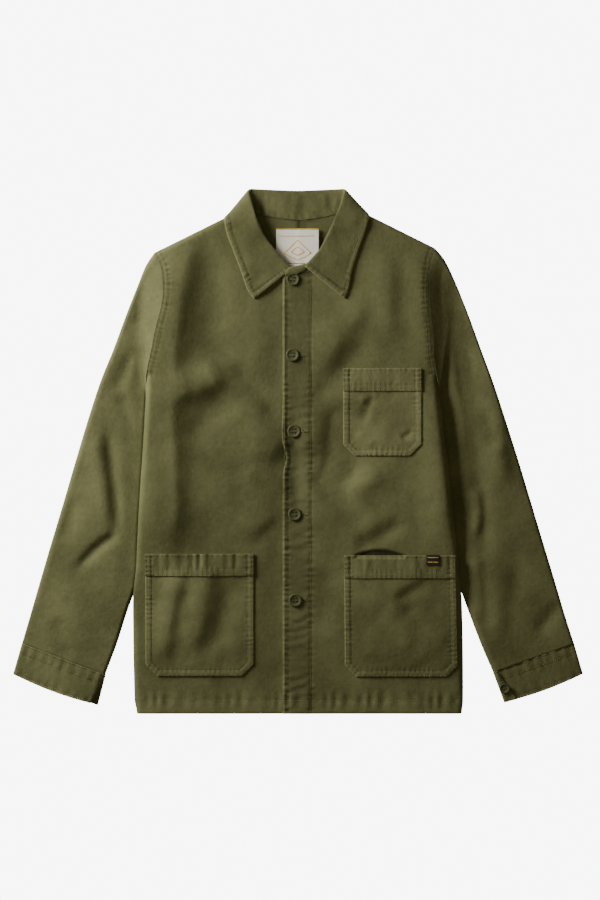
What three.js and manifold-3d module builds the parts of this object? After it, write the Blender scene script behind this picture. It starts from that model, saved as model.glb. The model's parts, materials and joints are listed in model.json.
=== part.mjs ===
// Chore jacket laid flat on its back: two fronts, two backs, collar, sleeves with cuffs, three patch pockets
// with facing bands, neck label, pocket flag and buttons.
// Millimetres. +X is the wearer's left, +Y points to the collar, +Z is up, and the jacket lies on z = 0.
import * as THREE from "three";
import { mergeVertices } from "three/addons/utils/BufferGeometryUtils.js";
import Module from "manifold-3d";

const wasm = await Module();
wasm.setup();

// Driving dimensions
const clothThick = 1.2; // cotton moleskin
const collarThick = 2.0; // two plies and the interlining between them
const bandThick = 1.0;
const labelThick = 1.0;
const seamGap = 0.3;
const armpitGap = 0.8; // where four seams meet
const hemY = -392.5;
const armpitY = 113;
const backSeamX = 3;
const overlapEdgeX = -22; // front edge of the wearer's left front, which lies on top
const underlapEdgeX = 17; // front edge of the wearer's right front, below it
const underlapDrop = 2.2; // how much lower the underlap lies
const underlapFade = [-64, -26]; // between these the right front sinks to the underlap
const lowestLoft = 7; // the upper layer's troughs rest on the folds of the layer below
const foldRise = 3; // from the lower layer up to the seam at a side fold
const frontCurl = 8; // how far in from a side fold the upper layer stays rounded
const backCurl = 4;
const tuckLift = 4.4; // the back rises by this over the sleeve that is tucked under it
const tuckFade = [14, 62]; // how far in from the tucked sleeve's fold the back sinks again
const collarLift = 2.6; // the back rises by this over the collar's fall
const pressedLoft = 3.0; // middle of the sleeve's upper layer where the body lies on it
const backMid = clothThick / 2;

const buttonRadius = 10;
const cuffButtonRadius = 7.5;
const buttonHeight = 3;
const frontButtonX = -6;
const frontButtonYs = [256.5, 143, 29, -95, -223];

const olive = { cloth: 0x66633e, inside: 0x5e5a38, button: 0x4b4a2e };

const v3 = (x, y, z) => new THREE.Vector3(x, y, z);
const clamp01 = (t) => Math.min(1, Math.max(0, t));
const mix = (a, b, t) => a + (b - a) * t;
const ease = (a, b, t) => {
  const s = clamp01((t - a) / (b - a));
  return s * s * (3 - 2 * s);
};

// Reads a column of a short table at a place between its rows, along a curve through the rows.
function readTable(rows, key, at, column) {
  const keys = rows.map((row) => row[key]);
  const rising = keys[keys.length - 1] > keys[0];
  const inside = (k) => (rising ? at >= keys[k] : at <= keys[k]);
  let k = 0;
  while (k < rows.length - 2 && inside(k + 1)) k++;
  const t = clamp01((at - keys[k]) / (keys[k + 1] - keys[k]));
  const value = (i) => rows[Math.min(rows.length - 1, Math.max(0, i))][column];
  const [a, b, c, d] = [value(k - 1), value(k), value(k + 1), value(k + 2)];
  const eased = 0.5 * (2 * b + (c - a) * t + (2 * a - 5 * b + 4 * c - d) * t * t + (3 * b - a - 3 * c + d) * t ** 3);
  return Math.min(Math.max(eased, Math.min(b, c) - 2), Math.max(b, c) + 2);
}

// Outline of the body's side folds
const sideRows = [
  { y: -392.5, left: -240.5, right: 246 },
  { y: -375, left: -244, right: 248 },
  { y: -280, left: -246, right: 247.5 },
  { y: -220, left: -245.5, right: 245.5 },
  { y: -176, left: -241, right: 241 },
  { y: -74, left: -236, right: 231.5 },
  { y: 55, left: -228, right: 217.5 },
  { y: 113, left: -226, right: 209 },
];

// The armhole seams on the front, from the armpit to the shoulder tip
const armholeRows = {
  left: [
    { x: -226, y: 113 },
    { x: -218, y: 148 },
    { x: -211, y: 182 },
    { x: -203, y: 214 },
    { x: -199.5, y: 242 },
    { x: -203, y: 274 },
    { x: -214, y: 296.5 },
  ],
  right: [
    { x: 209, y: 113 },
    { x: 203.5, y: 145 },
    { x: 200.5, y: 186 },
    { x: 196, y: 226 },
    { x: 196.5, y: 258 },
    { x: 200, y: 283 },
    { x: 204, y: 303.5 },
  ],
};

const neckPoint = { left: { x: -82, y: 362 }, right: { x: 82, y: 364 } };

// Inner edge of each front: down the front opening, then round the neck seam
const frontInner = {
  left: [
    { x: underlapEdgeX, y: hemY },
    { x: underlapEdgeX, y: 264 },
    { x: -17, y: 267 },
    { x: -36, y: 274 },
    { x: -55, y: 289 },
    { x: -69, y: 309 },
    { x: -78, y: 333 },
    { x: -82, y: 362 },
  ],
  right: [
    { x: overlapEdgeX, y: hemY },
    { x: overlapEdgeX, y: 262 },
    { x: 17, y: 267 },
    { x: 36, y: 274 },
    { x: 55, y: 289 },
    { x: 69, y: 309 },
    { x: 78, y: 334 },
    { x: 82, y: 364 },
  ],
};

// Height of the upper layer's middle surface along the body
const loftRows = [
  { y: -392.5, loft: 7.8 },
  { y: -350, loft: 9.5 },
  { y: -280, loft: 12 },
  { y: -100, loft: 13.5 },
  { y: 150, loft: 13.5 },
  { y: 280, loft: 12 },
  { y: 365, loft: 11 },
];

// The largest folds of the fronts. Each runs from start by way of a bend to its end, rises or sinks by rise,
// and dies away over its reach to the left and to the right of its run.
const frontFolds = [
  { name: "ridge by the right armhole", start: [-182, 275], bend: [-191, 182], end: [-222, 40], rise: 9, left: 16, right: 22 },
  { name: "ridge over the tucked right sleeve", start: [-217, 90], bend: [-227, -43], end: [-232, -190], rise: 5, left: 20, right: 20 },
  { name: "hollow below the right shoulder", start: [-148, 284], bend: [-158, 197], end: [-173, 95], rise: -3.5, left: 15, right: 14 },
  { name: "shelf below the right chest", start: [-182, 86], bend: [-139, 107], end: [-95, 152], rise: 6, left: 26, right: 14 },
  { name: "hollow under the shelf", start: [-105, 97], bend: [-147, 80], end: [-159, 8], rise: -5, left: 15, right: 15 },
  { name: "hollow down the right side", start: [-160, 36], bend: [-173, -58], end: [-163, -160], rise: -4.5, left: 17, right: 15 },
  { name: "crown of the right belly", start: [-92, 84], bend: [-64, 42], end: [-30, -12], rise: 5, left: 16, right: 32 },
  { name: "crease above the crown", start: [-100, 128], bend: [-59, 96], end: [-24, 44], rise: -3.5, left: 12, right: 12 },
  { name: "right pocket, outer ridge", start: [-167, -168], bend: [-194, -238], end: [-202, -325], rise: 4.5, left: 11, right: 18 },
  { name: "right pocket, inner ridge", start: [-138, -160], bend: [-142, -238], end: [-166, -310], rise: 6, left: 14, right: 15 },
  { name: "right pocket, inner hollow", start: [-98, -182], bend: [-103, -245], end: [-133, -308], rise: -3, left: 16, right: 13 },
  { name: "ridge across the left chest", start: [114, 230], bend: [64, 183], end: [24, 110], rise: 5, left: 16, right: 28 },
  { name: "hollow across the left chest", start: [117, 172], bend: [63, 128], end: [27, 55], rise: -4, left: 14, right: 13 },
  { name: "dent beside the chest pocket", start: [54, 54], bend: [32, 8], end: [30, -32], rise: -6, left: 11, right: 11 },
  { name: "dent below the chest pocket", start: [34, -14], bend: [52, -20], end: [74, -15], rise: -4, left: 9, right: 9 },
  { name: "drape from the left shoulder", start: [133, 304], bend: [137, 227], end: [132, 150], rise: 3, left: 14, right: 25 },
  { name: "ridge by the left armhole", start: [172, 288], bend: [182, 197], end: [193, 100], rise: 4, left: 18, right: 18 },
  { name: "ridge over the tucked left sleeve", start: [194, 126], bend: [214, 2], end: [233, -168], rise: 5.5, left: 18, right: 22 },
  { name: "left belly, inner hollow", start: [63, -24], bend: [82, -80], end: [124, -128], rise: -4, left: 13, right: 13 },
  { name: "left belly, outer hollow", start: [178, -22], bend: [136, -68], end: [94, -102], rise: -4, left: 14, right: 14 },
  { name: "hollow over the left pocket", start: [163, -100], bend: [130, -131], end: [78, -151], rise: -5, left: 11, right: 12 },
  { name: "left pocket, short ridge", start: [193, -186], bend: [160, -198], end: [135, -228], rise: 3.5, left: 9, right: 12 },
  { name: "left pocket, outer hollow", start: [158, -220], bend: [181, -256], end: [197, -302], rise: -3, left: 13, right: 13 },
  { name: "left pocket, long ridge", start: [110, -182], bend: [146, -245], end: [186, -324], rise: 3, left: 18, right: 18 },
  { name: "hollow beside the left pocket", start: [49, -160], bend: [37, -223], end: [43, -287], rise: -2.5, left: 17, right: 17 },
];

const sleeveFolds = [
  { name: "right sleeve, hollow by the edge", start: [-225, 254], bend: [-238, 205], end: [-256, 156], rise: -4, left: 9, right: 9 },
  { name: "right sleeve, elbow hollow", start: [-245, 153], bend: [-264, 98], end: [-230, 36], rise: -4.5, left: 11, right: 11 },
  { name: "right sleeve, long ridge", start: [-302, 44], bend: [-299, -28], end: [-286, -122], rise: 5, left: 9, right: 18 },
  { name: "right sleeve, long hollow", start: [-287, 20], bend: [-279, -58], end: [-271, -134], rise: -4, left: 9, right: 9 },
  { name: "right sleeve, sharp crease", start: [-274, -114], bend: [-304, -114], end: [-316, -162], rise: -5, left: 7, right: 7 },
  { name: "right sleeve, lower hollow", start: [-328, -54], bend: [-340, -103], end: [-363, -148], rise: -3.5, left: 11, right: 11 },
  { name: "right sleeve, hollow at the cuff", start: [-356, -240], bend: [-348, -283], end: [-337, -322], rise: -2, left: 10, right: 10 },
  { name: "left sleeve, long ridge", start: [238, 190], bend: [250, 77], end: [259, -48], rise: 4, left: 22, right: 10 },
  { name: "left sleeve, elbow crease", start: [263, -50], bend: [279, -90], end: [264, -136], rise: 4, left: 7, right: 9 },
  { name: "left sleeve, outer ridge", start: [294, 82], bend: [299, 17], end: [308, -62], rise: 3, left: 12, right: 12 },
  { name: "left sleeve, lower hollow", start: [334, -160], bend: [321, -223], end: [316, -300], rise: -3, left: 13, right: 13 },
  { name: "left sleeve, outer hollow", start: [394, -230], bend: [371, -254], end: [354, -292], rise: -3, left: 9, right: 9 },
];

const foldSteps = 10;
for (const fold of [...frontFolds, ...sleeveFolds]) {
  fold.run = [];
  for (let i = 0; i <= foldSteps; i++) {
    const t = i / foldSteps;
    const along = [0, 1].map((a) => (1 - t) ** 2 * fold.start[a] + 2 * t * (1 - t) * fold.bend[a] + t * t * fold.end[a]);
    fold.run.push(along);
  }
}

// How much one fold lifts the cloth at a point
function liftOf(fold, x, y) {
  let nearest = Infinity;
  let share = 0;
  let side = 1;
  for (let i = 0; i < foldSteps; i++) {
    const [ax, ay] = fold.run[i];
    const [bx, by] = fold.run[i + 1];
    const [dx, dy] = [bx - ax, by - ay];
    const t = clamp01(((x - ax) * dx + (y - ay) * dy) / (dx * dx + dy * dy));
    const far = Math.hypot(x - ax - dx * t, y - ay - dy * t);
    if (far < nearest) {
      nearest = far;
      share = (i + t) / foldSteps;
      side = dx * (y - ay) - dy * (x - ax);
    }
  }
  const taper = ease(0, 0.28, share) * ease(0, 0.28, 1 - share);
  return fold.rise * taper * Math.exp(-((nearest / (side > 0 ? fold.left : fold.right)) ** 2));
}

const liftOfAll = (folds, x, y) => folds.reduce((sum, fold) => sum + liftOf(fold, x, y), 0);
const settle = (height) => lowestLoft + Math.log(1 + Math.exp(1.2 * (height - lowestLoft))) / 1.2;

const sideX = (side, y) => readTable(sideRows, "y", Math.min(y, armpitY), side);

// Middle surface of the fronts, before their edges round down
const upperHeight = (x, y) => settle(readTable(loftRows, "y", y, "loft") + liftOfAll(frontFolds, x, y));

// The sleeves, in sections from the armhole to the cuff seam: outer fold, inner fold, the height of the inner
// fold's seam line and the loft of the upper layer. The inner fold runs below the body from section 3 to 9.
const sleeveRows = {
  left: [
    { outerX: -214, outerY: 296.5, innerX: -226, innerY: 113, foldZ: 8, loft: 13 },
    { outerX: -227, outerY: 277, innerX: -229.3, innerY: 101, foldZ: 5.2, loft: 13 },
    { outerX: -239, outerY: 248, innerX: -229.6, innerY: 86, foldZ: 2.6, loft: 13 },
    { outerX: -256, outerY: 205, innerX: -225, innerY: 60, foldZ: 1.8, loft: 12.5 },
    { outerX: -276, outerY: 151, innerX: -206, innerY: 20, foldZ: 1.8, loft: 12.5 },
    { outerX: -295, outerY: 104, innerX: -198, innerY: -26, foldZ: 1.8, loft: 12.5 },
    { outerX: -314, outerY: 46, innerX: -200, innerY: -76, foldZ: 1.8, loft: 12.5 },
    { outerX: -332, outerY: -14, innerX: -208, innerY: -125, foldZ: 1.8, loft: 12.5 },
    { outerX: -349.5, outerY: -74, innerX: -223, innerY: -168, foldZ: 1.8, loft: 12 },
    { outerX: -367.5, outerY: -134, innerX: -240, innerY: -200, foldZ: 2.2, loft: 11.5 },
    { outerX: -384, outerY: -190, innerX: -255, innerY: -238, foldZ: 3.2, loft: 11 },
    { outerX: -399, outerY: -242, innerX: -273, innerY: -288, foldZ: 3.4, loft: 10 },
    { outerX: -412.5, outerY: -288, innerX: -292.5, innerY: -333, foldZ: 3.4, loft: 8.5 },
  ],
  right: [
    { outerX: 204, outerY: 303.5, innerX: 209, innerY: 113, foldZ: 8, loft: 12 },
    { outerX: 218, outerY: 286, innerX: 212.8, innerY: 101, foldZ: 5.2, loft: 11.5 },
    { outerX: 234, outerY: 254, innerX: 215, innerY: 86, foldZ: 2.6, loft: 11 },
    { outerX: 256, outerY: 204, innerX: 213, innerY: 60, foldZ: 1.8, loft: 10.5 },
    { outerX: 276, outerY: 149, innerX: 198, innerY: 20, foldZ: 1.8, loft: 10.5 },
    { outerX: 294, outerY: 100, innerX: 191, innerY: -26, foldZ: 1.8, loft: 10.5 },
    { outerX: 313, outerY: 42, innerX: 194, innerY: -76, foldZ: 1.8, loft: 10.5 },
    { outerX: 331.5, outerY: -16, innerX: 204, innerY: -125, foldZ: 1.8, loft: 10.5 },
    { outerX: 349, outerY: -74, innerX: 221, innerY: -168, foldZ: 1.8, loft: 10.5 },
    { outerX: 367, outerY: -134, innerX: 241, innerY: -200, foldZ: 2.2, loft: 10.5 },
    { outerX: 384, outerY: -190, innerX: 256, innerY: -238, foldZ: 3.2, loft: 10 },
    { outerX: 400, outerY: -244, innerX: 275, innerY: -288, foldZ: 3.4, loft: 9.5 },
    { outerX: 414, outerY: -288, innerX: 293.5, innerY: -331, foldZ: 3.4, loft: 8.5 },
  ],
};

// How far inside the body's side fold the tucked sleeve reaches at a height y
function tuckReach(side, y) {
  const rows = sleeveRows[side].slice(2, 11);
  if (y > rows[0].innerY || y < rows[rows.length - 1].innerY) return 0;
  const inner = readTable(rows, "innerY", y, "innerX");
  return Math.max(0, Math.abs(sideX(side, y)) - Math.abs(inner));
}

// Middle surface of the backs, before their edges curl up
function lowerHeight(side, x, y) {
  const inFromSide = Math.abs(sideX(side, y)) - Math.abs(x);
  const reach = tuckReach(side, Math.min(y, sleeveRows[side][3].innerY));
  const alongSide = ease(-266, -216, y) * (1 - ease(150, 250, y));
  const tuck = tuckLift * alongSide * (1 - ease(reach + tuckFade[0], reach + tuckFade[1], inFromSide));
  return backMid + tuck + collarLift * ease(230, 333, y);
}

const foldHeight = (side, x, y) => lowerHeight(side, x, y) + foldRise;

// Places along a width that has a rounded fold of the given reach at each end that is asked for
function spread(width, steps, curlStart, curlEnd, power = 1) {
  const angles = [0, Math.PI / 6, Math.PI / 3];
  const places = angles.map((a) => ({ at: curlStart * (1 - Math.cos(a)), start: Math.sin(a), end: 1 }));
  const tail = angles.map((a) => ({ at: width - curlEnd * (1 - Math.cos(a)), start: 1, end: Math.sin(a) })).reverse();
  const from = curlStart;
  const to = width - curlEnd;
  const inner = steps - (curlStart ? 3 : 0) - (curlEnd ? 3 : 0);
  const middle = [];
  for (let i = 0; i <= inner; i++) middle.push({ at: mix(from, to, (i / inner) ** power), start: 1, end: 1 });
  return [...(curlStart ? places : []), ...middle, ...(curlEnd ? tail : [])];
}

// A curve through the rows of a short table, by its length
function curveOf(rows) {
  return new THREE.CatmullRomCurve3(rows.map((row) => v3(row.x, row.y, 0)), false, "centripetal");
}

const armholeSteps = 14;
const armhole = {};
for (const side of ["left", "right"]) {
  const curve = curveOf(armholeRows[side]);
  armhole[side] = { curve, length: curve.getLength() };
}

// Rows of a body panel as straight runs from its outer edge to its inner edge, from the hem up. The inner edge
// turns from the front opening, or the centre-back seam, into the neck at cornerRow of the armhole's rows.
function panelRows(side, innerRows, curl, cornerRow) {
  const rows = [];
  const [foot, corner] = innerRows;
  const neck = curveOf(innerRows.slice(1));
  const neckLength = neck.getLength();
  const { curve, length } = armhole[side];
  const levelY = armpitY - 10;
  for (let i = 0; i < bodySteps; i++) {
    const share = i / bodySteps;
    const y = mix(hemY, armpitY, share);
    rows.push({ outer: v3(sideX(side, y), y, 0), inner: v3(foot.x, mix(hemY, levelY, share), 0), armpit: 0, shoulder: 1 });
  }
  const lastFlat = armholeSteps - 3;
  spread(length, armholeSteps, curl, curl).forEach((place, i) => {
    const left = i >= lastFlat ? length - place.at : mix(neckLength, curl, (i - cornerRow) / (lastFlat - cornerRow));
    const onOpening = v3(foot.x, mix(levelY, corner.y, i / cornerRow), 0);
    const inner = i <= cornerRow ? onOpening : neck.getPointAt(clamp01(1 - left / neckLength));
    rows.push({ outer: curve.getPointAt(place.at / length), inner, armpit: place.start, shoulder: place.end });
  });
  return rows;
}

// Turns rows into a grid of middle-surface points. heightAt gives the surface away from the folds.
function panelGrid(side, rows, curl, columnSteps, power, heightAt) {
  return rows.map((row) => {
    const width = row.outer.distanceTo(row.inner);
    return spread(width, columnSteps, curl, 0, power).map((place) => {
      const p = row.outer.clone().lerp(row.inner, place.at / width);
      const sideRound = 1 - (1 - row.armpit) * (1 - place.start);
      const low = foldHeight(side, p.x, p.y);
      p.z = mix(low, heightAt(p.x, p.y), sideRound * row.shoulder);
      return p;
    });
  });
}

// Normals of a grid from its neighbours; a ring is closed along its second direction
function gridNormals(grid, ring) {
  const last = grid.length - 1;
  return grid.map((row, i) =>
    row.map((p, j) => {
      const n = row.length;
      const before = ring ? row[(j + n - 1) % n] : row[Math.max(0, j - 1)];
      const after = ring ? row[(j + 1) % n] : row[Math.min(n - 1, j + 1)];
      const across = after.clone().sub(before);
      const along = grid[Math.min(last, i + 1)][j].clone().sub(grid[Math.max(0, i - 1)][j]);
      return across.cross(along).normalize();
    }),
  );
}

// Closed wall between two offsets of a grid
function wallGeometry(grid, normals, from, to, { ring = false, thinStart = 1 } = {}) {
  const rows = grid.length;
  const columns = grid[0].length;
  const points = [];
  for (const offset of [to, from]) {
    const thin = (j) => (j === 0 ? thinStart : 1);
    grid.forEach((row, i) => row.forEach((p, j) => points.push(p.clone().addScaledVector(normals[i][j], offset * thin(j)))));
  }
  const at = (layer, i, j) => layer * rows * columns + i * columns + (j % columns);
  const index = [];
  const quad = (a, b, c, d) => index.push(a, b, c, a, c, d);
  const lastColumn = ring ? columns : columns - 1;
  for (let i = 0; i < rows - 1; i++) {
    for (let j = 0; j < lastColumn; j++) {
      quad(at(0, i, j), at(0, i, j + 1), at(0, i + 1, j + 1), at(0, i + 1, j));
      quad(at(1, i, j), at(1, i + 1, j), at(1, i + 1, j + 1), at(1, i, j + 1));
    }
  }
  for (let j = 0; j < lastColumn; j++) {
    quad(at(0, 0, j), at(1, 0, j), at(1, 0, j + 1), at(0, 0, j + 1));
    quad(at(0, rows - 1, j), at(0, rows - 1, j + 1), at(1, rows - 1, j + 1), at(1, rows - 1, j));
  }
  if (!ring) {
    for (let i = 0; i < rows - 1; i++) {
      quad(at(0, i, 0), at(0, i + 1, 0), at(1, i + 1, 0), at(1, i, 0));
      quad(at(0, i, columns - 1), at(1, i, columns - 1), at(1, i + 1, columns - 1), at(0, i + 1, columns - 1));
    }
  }
  const geometry = new THREE.BufferGeometry().setFromPoints(points);
  geometry.setIndex(index);
  return facingOut(geometry);
}

function facingOut(geometry) {
  if (solidOf(geometry).volume() < 0) {
    const index = geometry.index.array;
    for (let i = 0; i < index.length; i += 3) [index[i], index[i + 1]] = [index[i + 1], index[i]];
  }
  geometry.computeVertexNormals();
  return geometry;
}

function solidOf(geometry) {
  const bare = geometry.clone();
  bare.deleteAttribute("normal");
  bare.deleteAttribute("uv");
  const merged = mergeVertices(bare, 1e-4);
  return new wasm.Manifold(
    new wasm.Mesh({
      numProp: 3,
      vertProperties: new Float32Array(merged.attributes.position.array),
      triVerts: new Uint32Array(merged.index.array),
    }),
  );
}

function geometryOf(solid) {
  const mesh = solid.getMesh();
  const geometry = new THREE.BufferGeometry();
  geometry.setAttribute("position", new THREE.BufferAttribute(mesh.vertProperties, 3));
  geometry.setIndex(new THREE.BufferAttribute(mesh.triVerts, 1));
  geometry.computeVertexNormals();
  return geometry;
}

const jacket = new THREE.Group();

function addPiece(name, geometry, color, roughness = 0.9) {
  const material = new THREE.MeshStandardMaterial({ color, roughness, metalness: 0 });
  const piece = new THREE.Mesh(geometry, material);
  piece.name = name;
  jacket.add(piece);
  return piece;
}

// Brings the vertices of sheets that meet at one place of a seam to one normal, a seam gap apart. Each entry
// names a sheet, its vertex and the next vertex in from the seam.
function meet(entries, given, gap = seamGap) {
  const shared = given ?? v3(0, 0, 0);
  if (!given) for (const [sheet, [i, j]] of entries) shared.add(sheet.normals[i][j]);
  shared.normalize();
  for (const [sheet, [i, j], [inI, inJ]] of entries) {
    const inward = sheet.grid[inI][inJ].clone().sub(sheet.grid[i][j]).setLength(gap / 2);
    sheet.normals[i][j].copy(shared);
    sheet.grid[i][j].add(inward);
  }
}

// Body panels
const bodySteps = 16;
const frontColumns = 15;
const backColumns = 9;
const frontCorner = 6;
const backCorner = 10;
const fronts = {};
const backs = {};
const flip = (sheet) => sheet.normals.flat().forEach((n) => n.negate());
for (const side of ["left", "right"]) {
  const sink = (x) => (side === "left" ? underlapDrop * ease(underlapFade[0], underlapFade[1], x) : 0);
  const frontRows = panelRows(side, frontInner[side], frontCurl, frontCorner);
  const frontGrid = panelGrid(side, frontRows, frontCurl, frontColumns, 1, (x, y) => upperHeight(x, y) - sink(x));
  const halfGap = (side === "left" ? -seamGap : seamGap) / 2;
  const neck = neckPoint[side];
  const backInner = [
    { x: backSeamX + halfGap, y: hemY },
    { x: backSeamX + halfGap, y: 346 },
    { x: mix(backSeamX, neck.x, 0.5), y: 350 },
    { x: neck.x, y: neck.y },
  ];
  const backRows = panelRows(side, backInner, backCurl, backCorner);
  const backGrid = panelGrid(side, backRows, backCurl, backColumns, 1.7, (x, y) => lowerHeight(side, x, y));
  fronts[side] = { grid: frontGrid, normals: gridNormals(frontGrid, false) };
  backs[side] = { grid: backGrid, normals: gridNormals(backGrid, false) };
  flip(side === "left" ? backs[side] : fronts[side]);
}

// Sleeves: each section is a flattened ring, over the top from the outer fold to the inner one and back below
const sleeveSections = [0, 0.35, 1, 1.5, 2, 2.6, 3.2, 4, 4.6, 5.2, 5.8, 6.4, 7, 7.6, 8.2, 8.8, 9.5, 10.3, 11.2, 12];

function sleeveGrid(side) {
  const numbered = sleeveRows[side].map((row, at) => ({ ...row, at }));
  const start = numbered[0];
  const front = fronts[side].grid;
  const back = backs[side].grid;
  const top = front.length - 1;
  return sleeveSections.map((at) => {
    const read = (column) => readTable(numbered, "at", at, column);
    const outer = v3(read("outerX"), read("outerY"), 0);
    const inner = v3(read("innerX"), read("innerY"), 0);
    const width = outer.distanceTo(inner);
    const nearArmhole = 1 - ease(0, 2.5, at);
    const outerFoldZ = mix(backMid + 3.4, foldHeight(side, outer.x, outer.y), nearArmhole);
    const point = (place, seam, heightAt) => {
      if (at === 0) return seam.clone();
      const share = place.at / width;
      const p = outer.clone().lerp(inner, share);
      p.x += (seam.x - mix(start.outerX, start.innerX, share)) * nearArmhole;
      p.y += (seam.y - mix(start.outerY, start.innerY, share)) * nearArmhole;
      const fold = mix(outerFoldZ, read("foldZ"), ease(0.3, 0.7, share));
      p.z = mix(fold, heightAt(p), place.start * place.end);
      return p;
    };
    const upper = (p) => {
      const insideBody = Math.abs(sideX(side, p.y)) - Math.abs(p.x);
      const pressed = ease(2, 3, at) * ease(-24, -4, insideBody) * ease(-262, -216, p.y);
      const own = Math.max(read("loft") + liftOfAll(sleeveFolds, p.x, p.y), pressedLoft + 2);
      return mix(mix(own, pressedLoft, pressed), upperHeight(p.x, p.y), nearArmhole);
    };
    const under = (p) => mix(backMid, lowerHeight(side, p.x, p.y), nearArmhole);
    const over = spread(width, armholeSteps, frontCurl, frontCurl).map((place, k) => point(place, front[top - k][0], upper));
    const below = spread(width, armholeSteps, backCurl, backCurl).slice(1, -1).reverse();
    return [...over, ...below.map((place, k) => point(place, back[bodySteps + 1 + k][0], under))];
  });
}

// Turns the normals of a row of a grid into the row's own upright plane
function squareEnd(sheet, row, next) {
  const first = sheet.grid[row][0];
  const far = sheet.grid[row][armholeSteps];
  const along = v3(far.y - first.y, first.x - far.x, 0).normalize();
  for (const n of sheet.normals[row]) n.addScaledVector(along, -n.dot(along)).normalize();
  return along.dot(sheet.grid[next][0].clone().sub(first)) > 0 ? along : along.negate();
}

const sleeves = {};
for (const side of ["left", "right"]) {
  const grid = sleeveGrid(side);
  const sleeve = { grid, normals: gridNormals(grid, true) };
  if (sleeve.normals[4][7].z < 0) flip(sleeve);
  sleeves[side] = sleeve;
  squareEnd(sleeve, grid.length - 1, grid.length - 2);
  const front = fronts[side];
  const back = backs[side];
  const top = front.grid.length - 1;
  for (let k = 1; k < armholeSteps; k++) {
    meet([[sleeve, [0, k], [1, k]], [front, [top - k, 0], [top - k, 1]]]);
    const ring = armholeSteps + k;
    meet([[sleeve, [0, ring], [1, ring]], [back, [bodySteps + k, 0], [bodySteps + k, 1]]]);
  }
  const armpit = [sleeve, [0, armholeSteps], [1, armholeSteps]];
  meet([armpit, [front, [bodySteps, 0], [bodySteps, 1]], [back, [bodySteps, 0], [bodySteps, 1]]], v3(0, -1, 0), armpitGap);
  for (const k of [-1, 0, 1]) sleeve.grid[0][armholeSteps + k].x += (side === "left" ? -0.4 : 0.4) * (k ? 0.5 : 1);
  meet([[sleeve, [0, 0], [1, 0]], [front, [top, 0], [top, 1]], [back, [top, 0], [top, 1]]]);
  for (let i = 0; i < bodySteps; i++) meet([[front, [i, 0], [i, 1]], [back, [i, 0], [i, 1]]]);
}

// Shoulder seams, where the last rows of front and back lie one above the other
for (const side of ["left", "right"]) {
  const [front, back] = [fronts[side], backs[side]];
  const top = front.grid.length - 1;
  const tip = armholeRows[side][armholeRows[side].length - 1];
  const along = v3(neckPoint[side].x - tip.x, neckPoint[side].y - tip.y, 0).normalize();
  const out = v3(-along.y, along.x, 0);
  if (out.y < 0) out.negate();
  for (const sheet of [front, back]) {
    const rise = sheet === front ? seamGap / 2 : -seamGap / 2;
    sheet.grid[top].forEach((p, j) => {
      if (j === 0) return;
      p.z = foldHeight(side, p.x, p.y) + rise;
      sheet.normals[top][j].copy(out);
    });
  }
}

const half = clothThick / 2;
const wearerSide = { left: "right", right: "left" };
for (const side of ["left", "right"]) {
  for (const [part, sheets] of [["front", fronts], ["back", backs], ["sleeve", sleeves]]) {
    const { grid, normals } = sheets[side];
    const wall = wallGeometry(grid, normals, -half, half, { ring: part === "sleeve" });
    addPiece(`${part}_${wearerSide[side]}`, wall, olive.cloth);
  }
}

// Height of a front's outer face, read off its own flat facets
const ray = new THREE.Raycaster();
const fronted = {};
for (const side of ["left", "right"]) {
  fronted[side] = new THREE.Mesh(jacket.getObjectByName(`front_${wearerSide[side]}`).geometry);
}
function faceHeight(side, x, y) {
  ray.set(v3(x, y, 100), v3(0, 0, -1));
  const hit = ray.intersectObject(fronted[side])[0];
  return hit ? hit.point.z : null;
}

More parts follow.
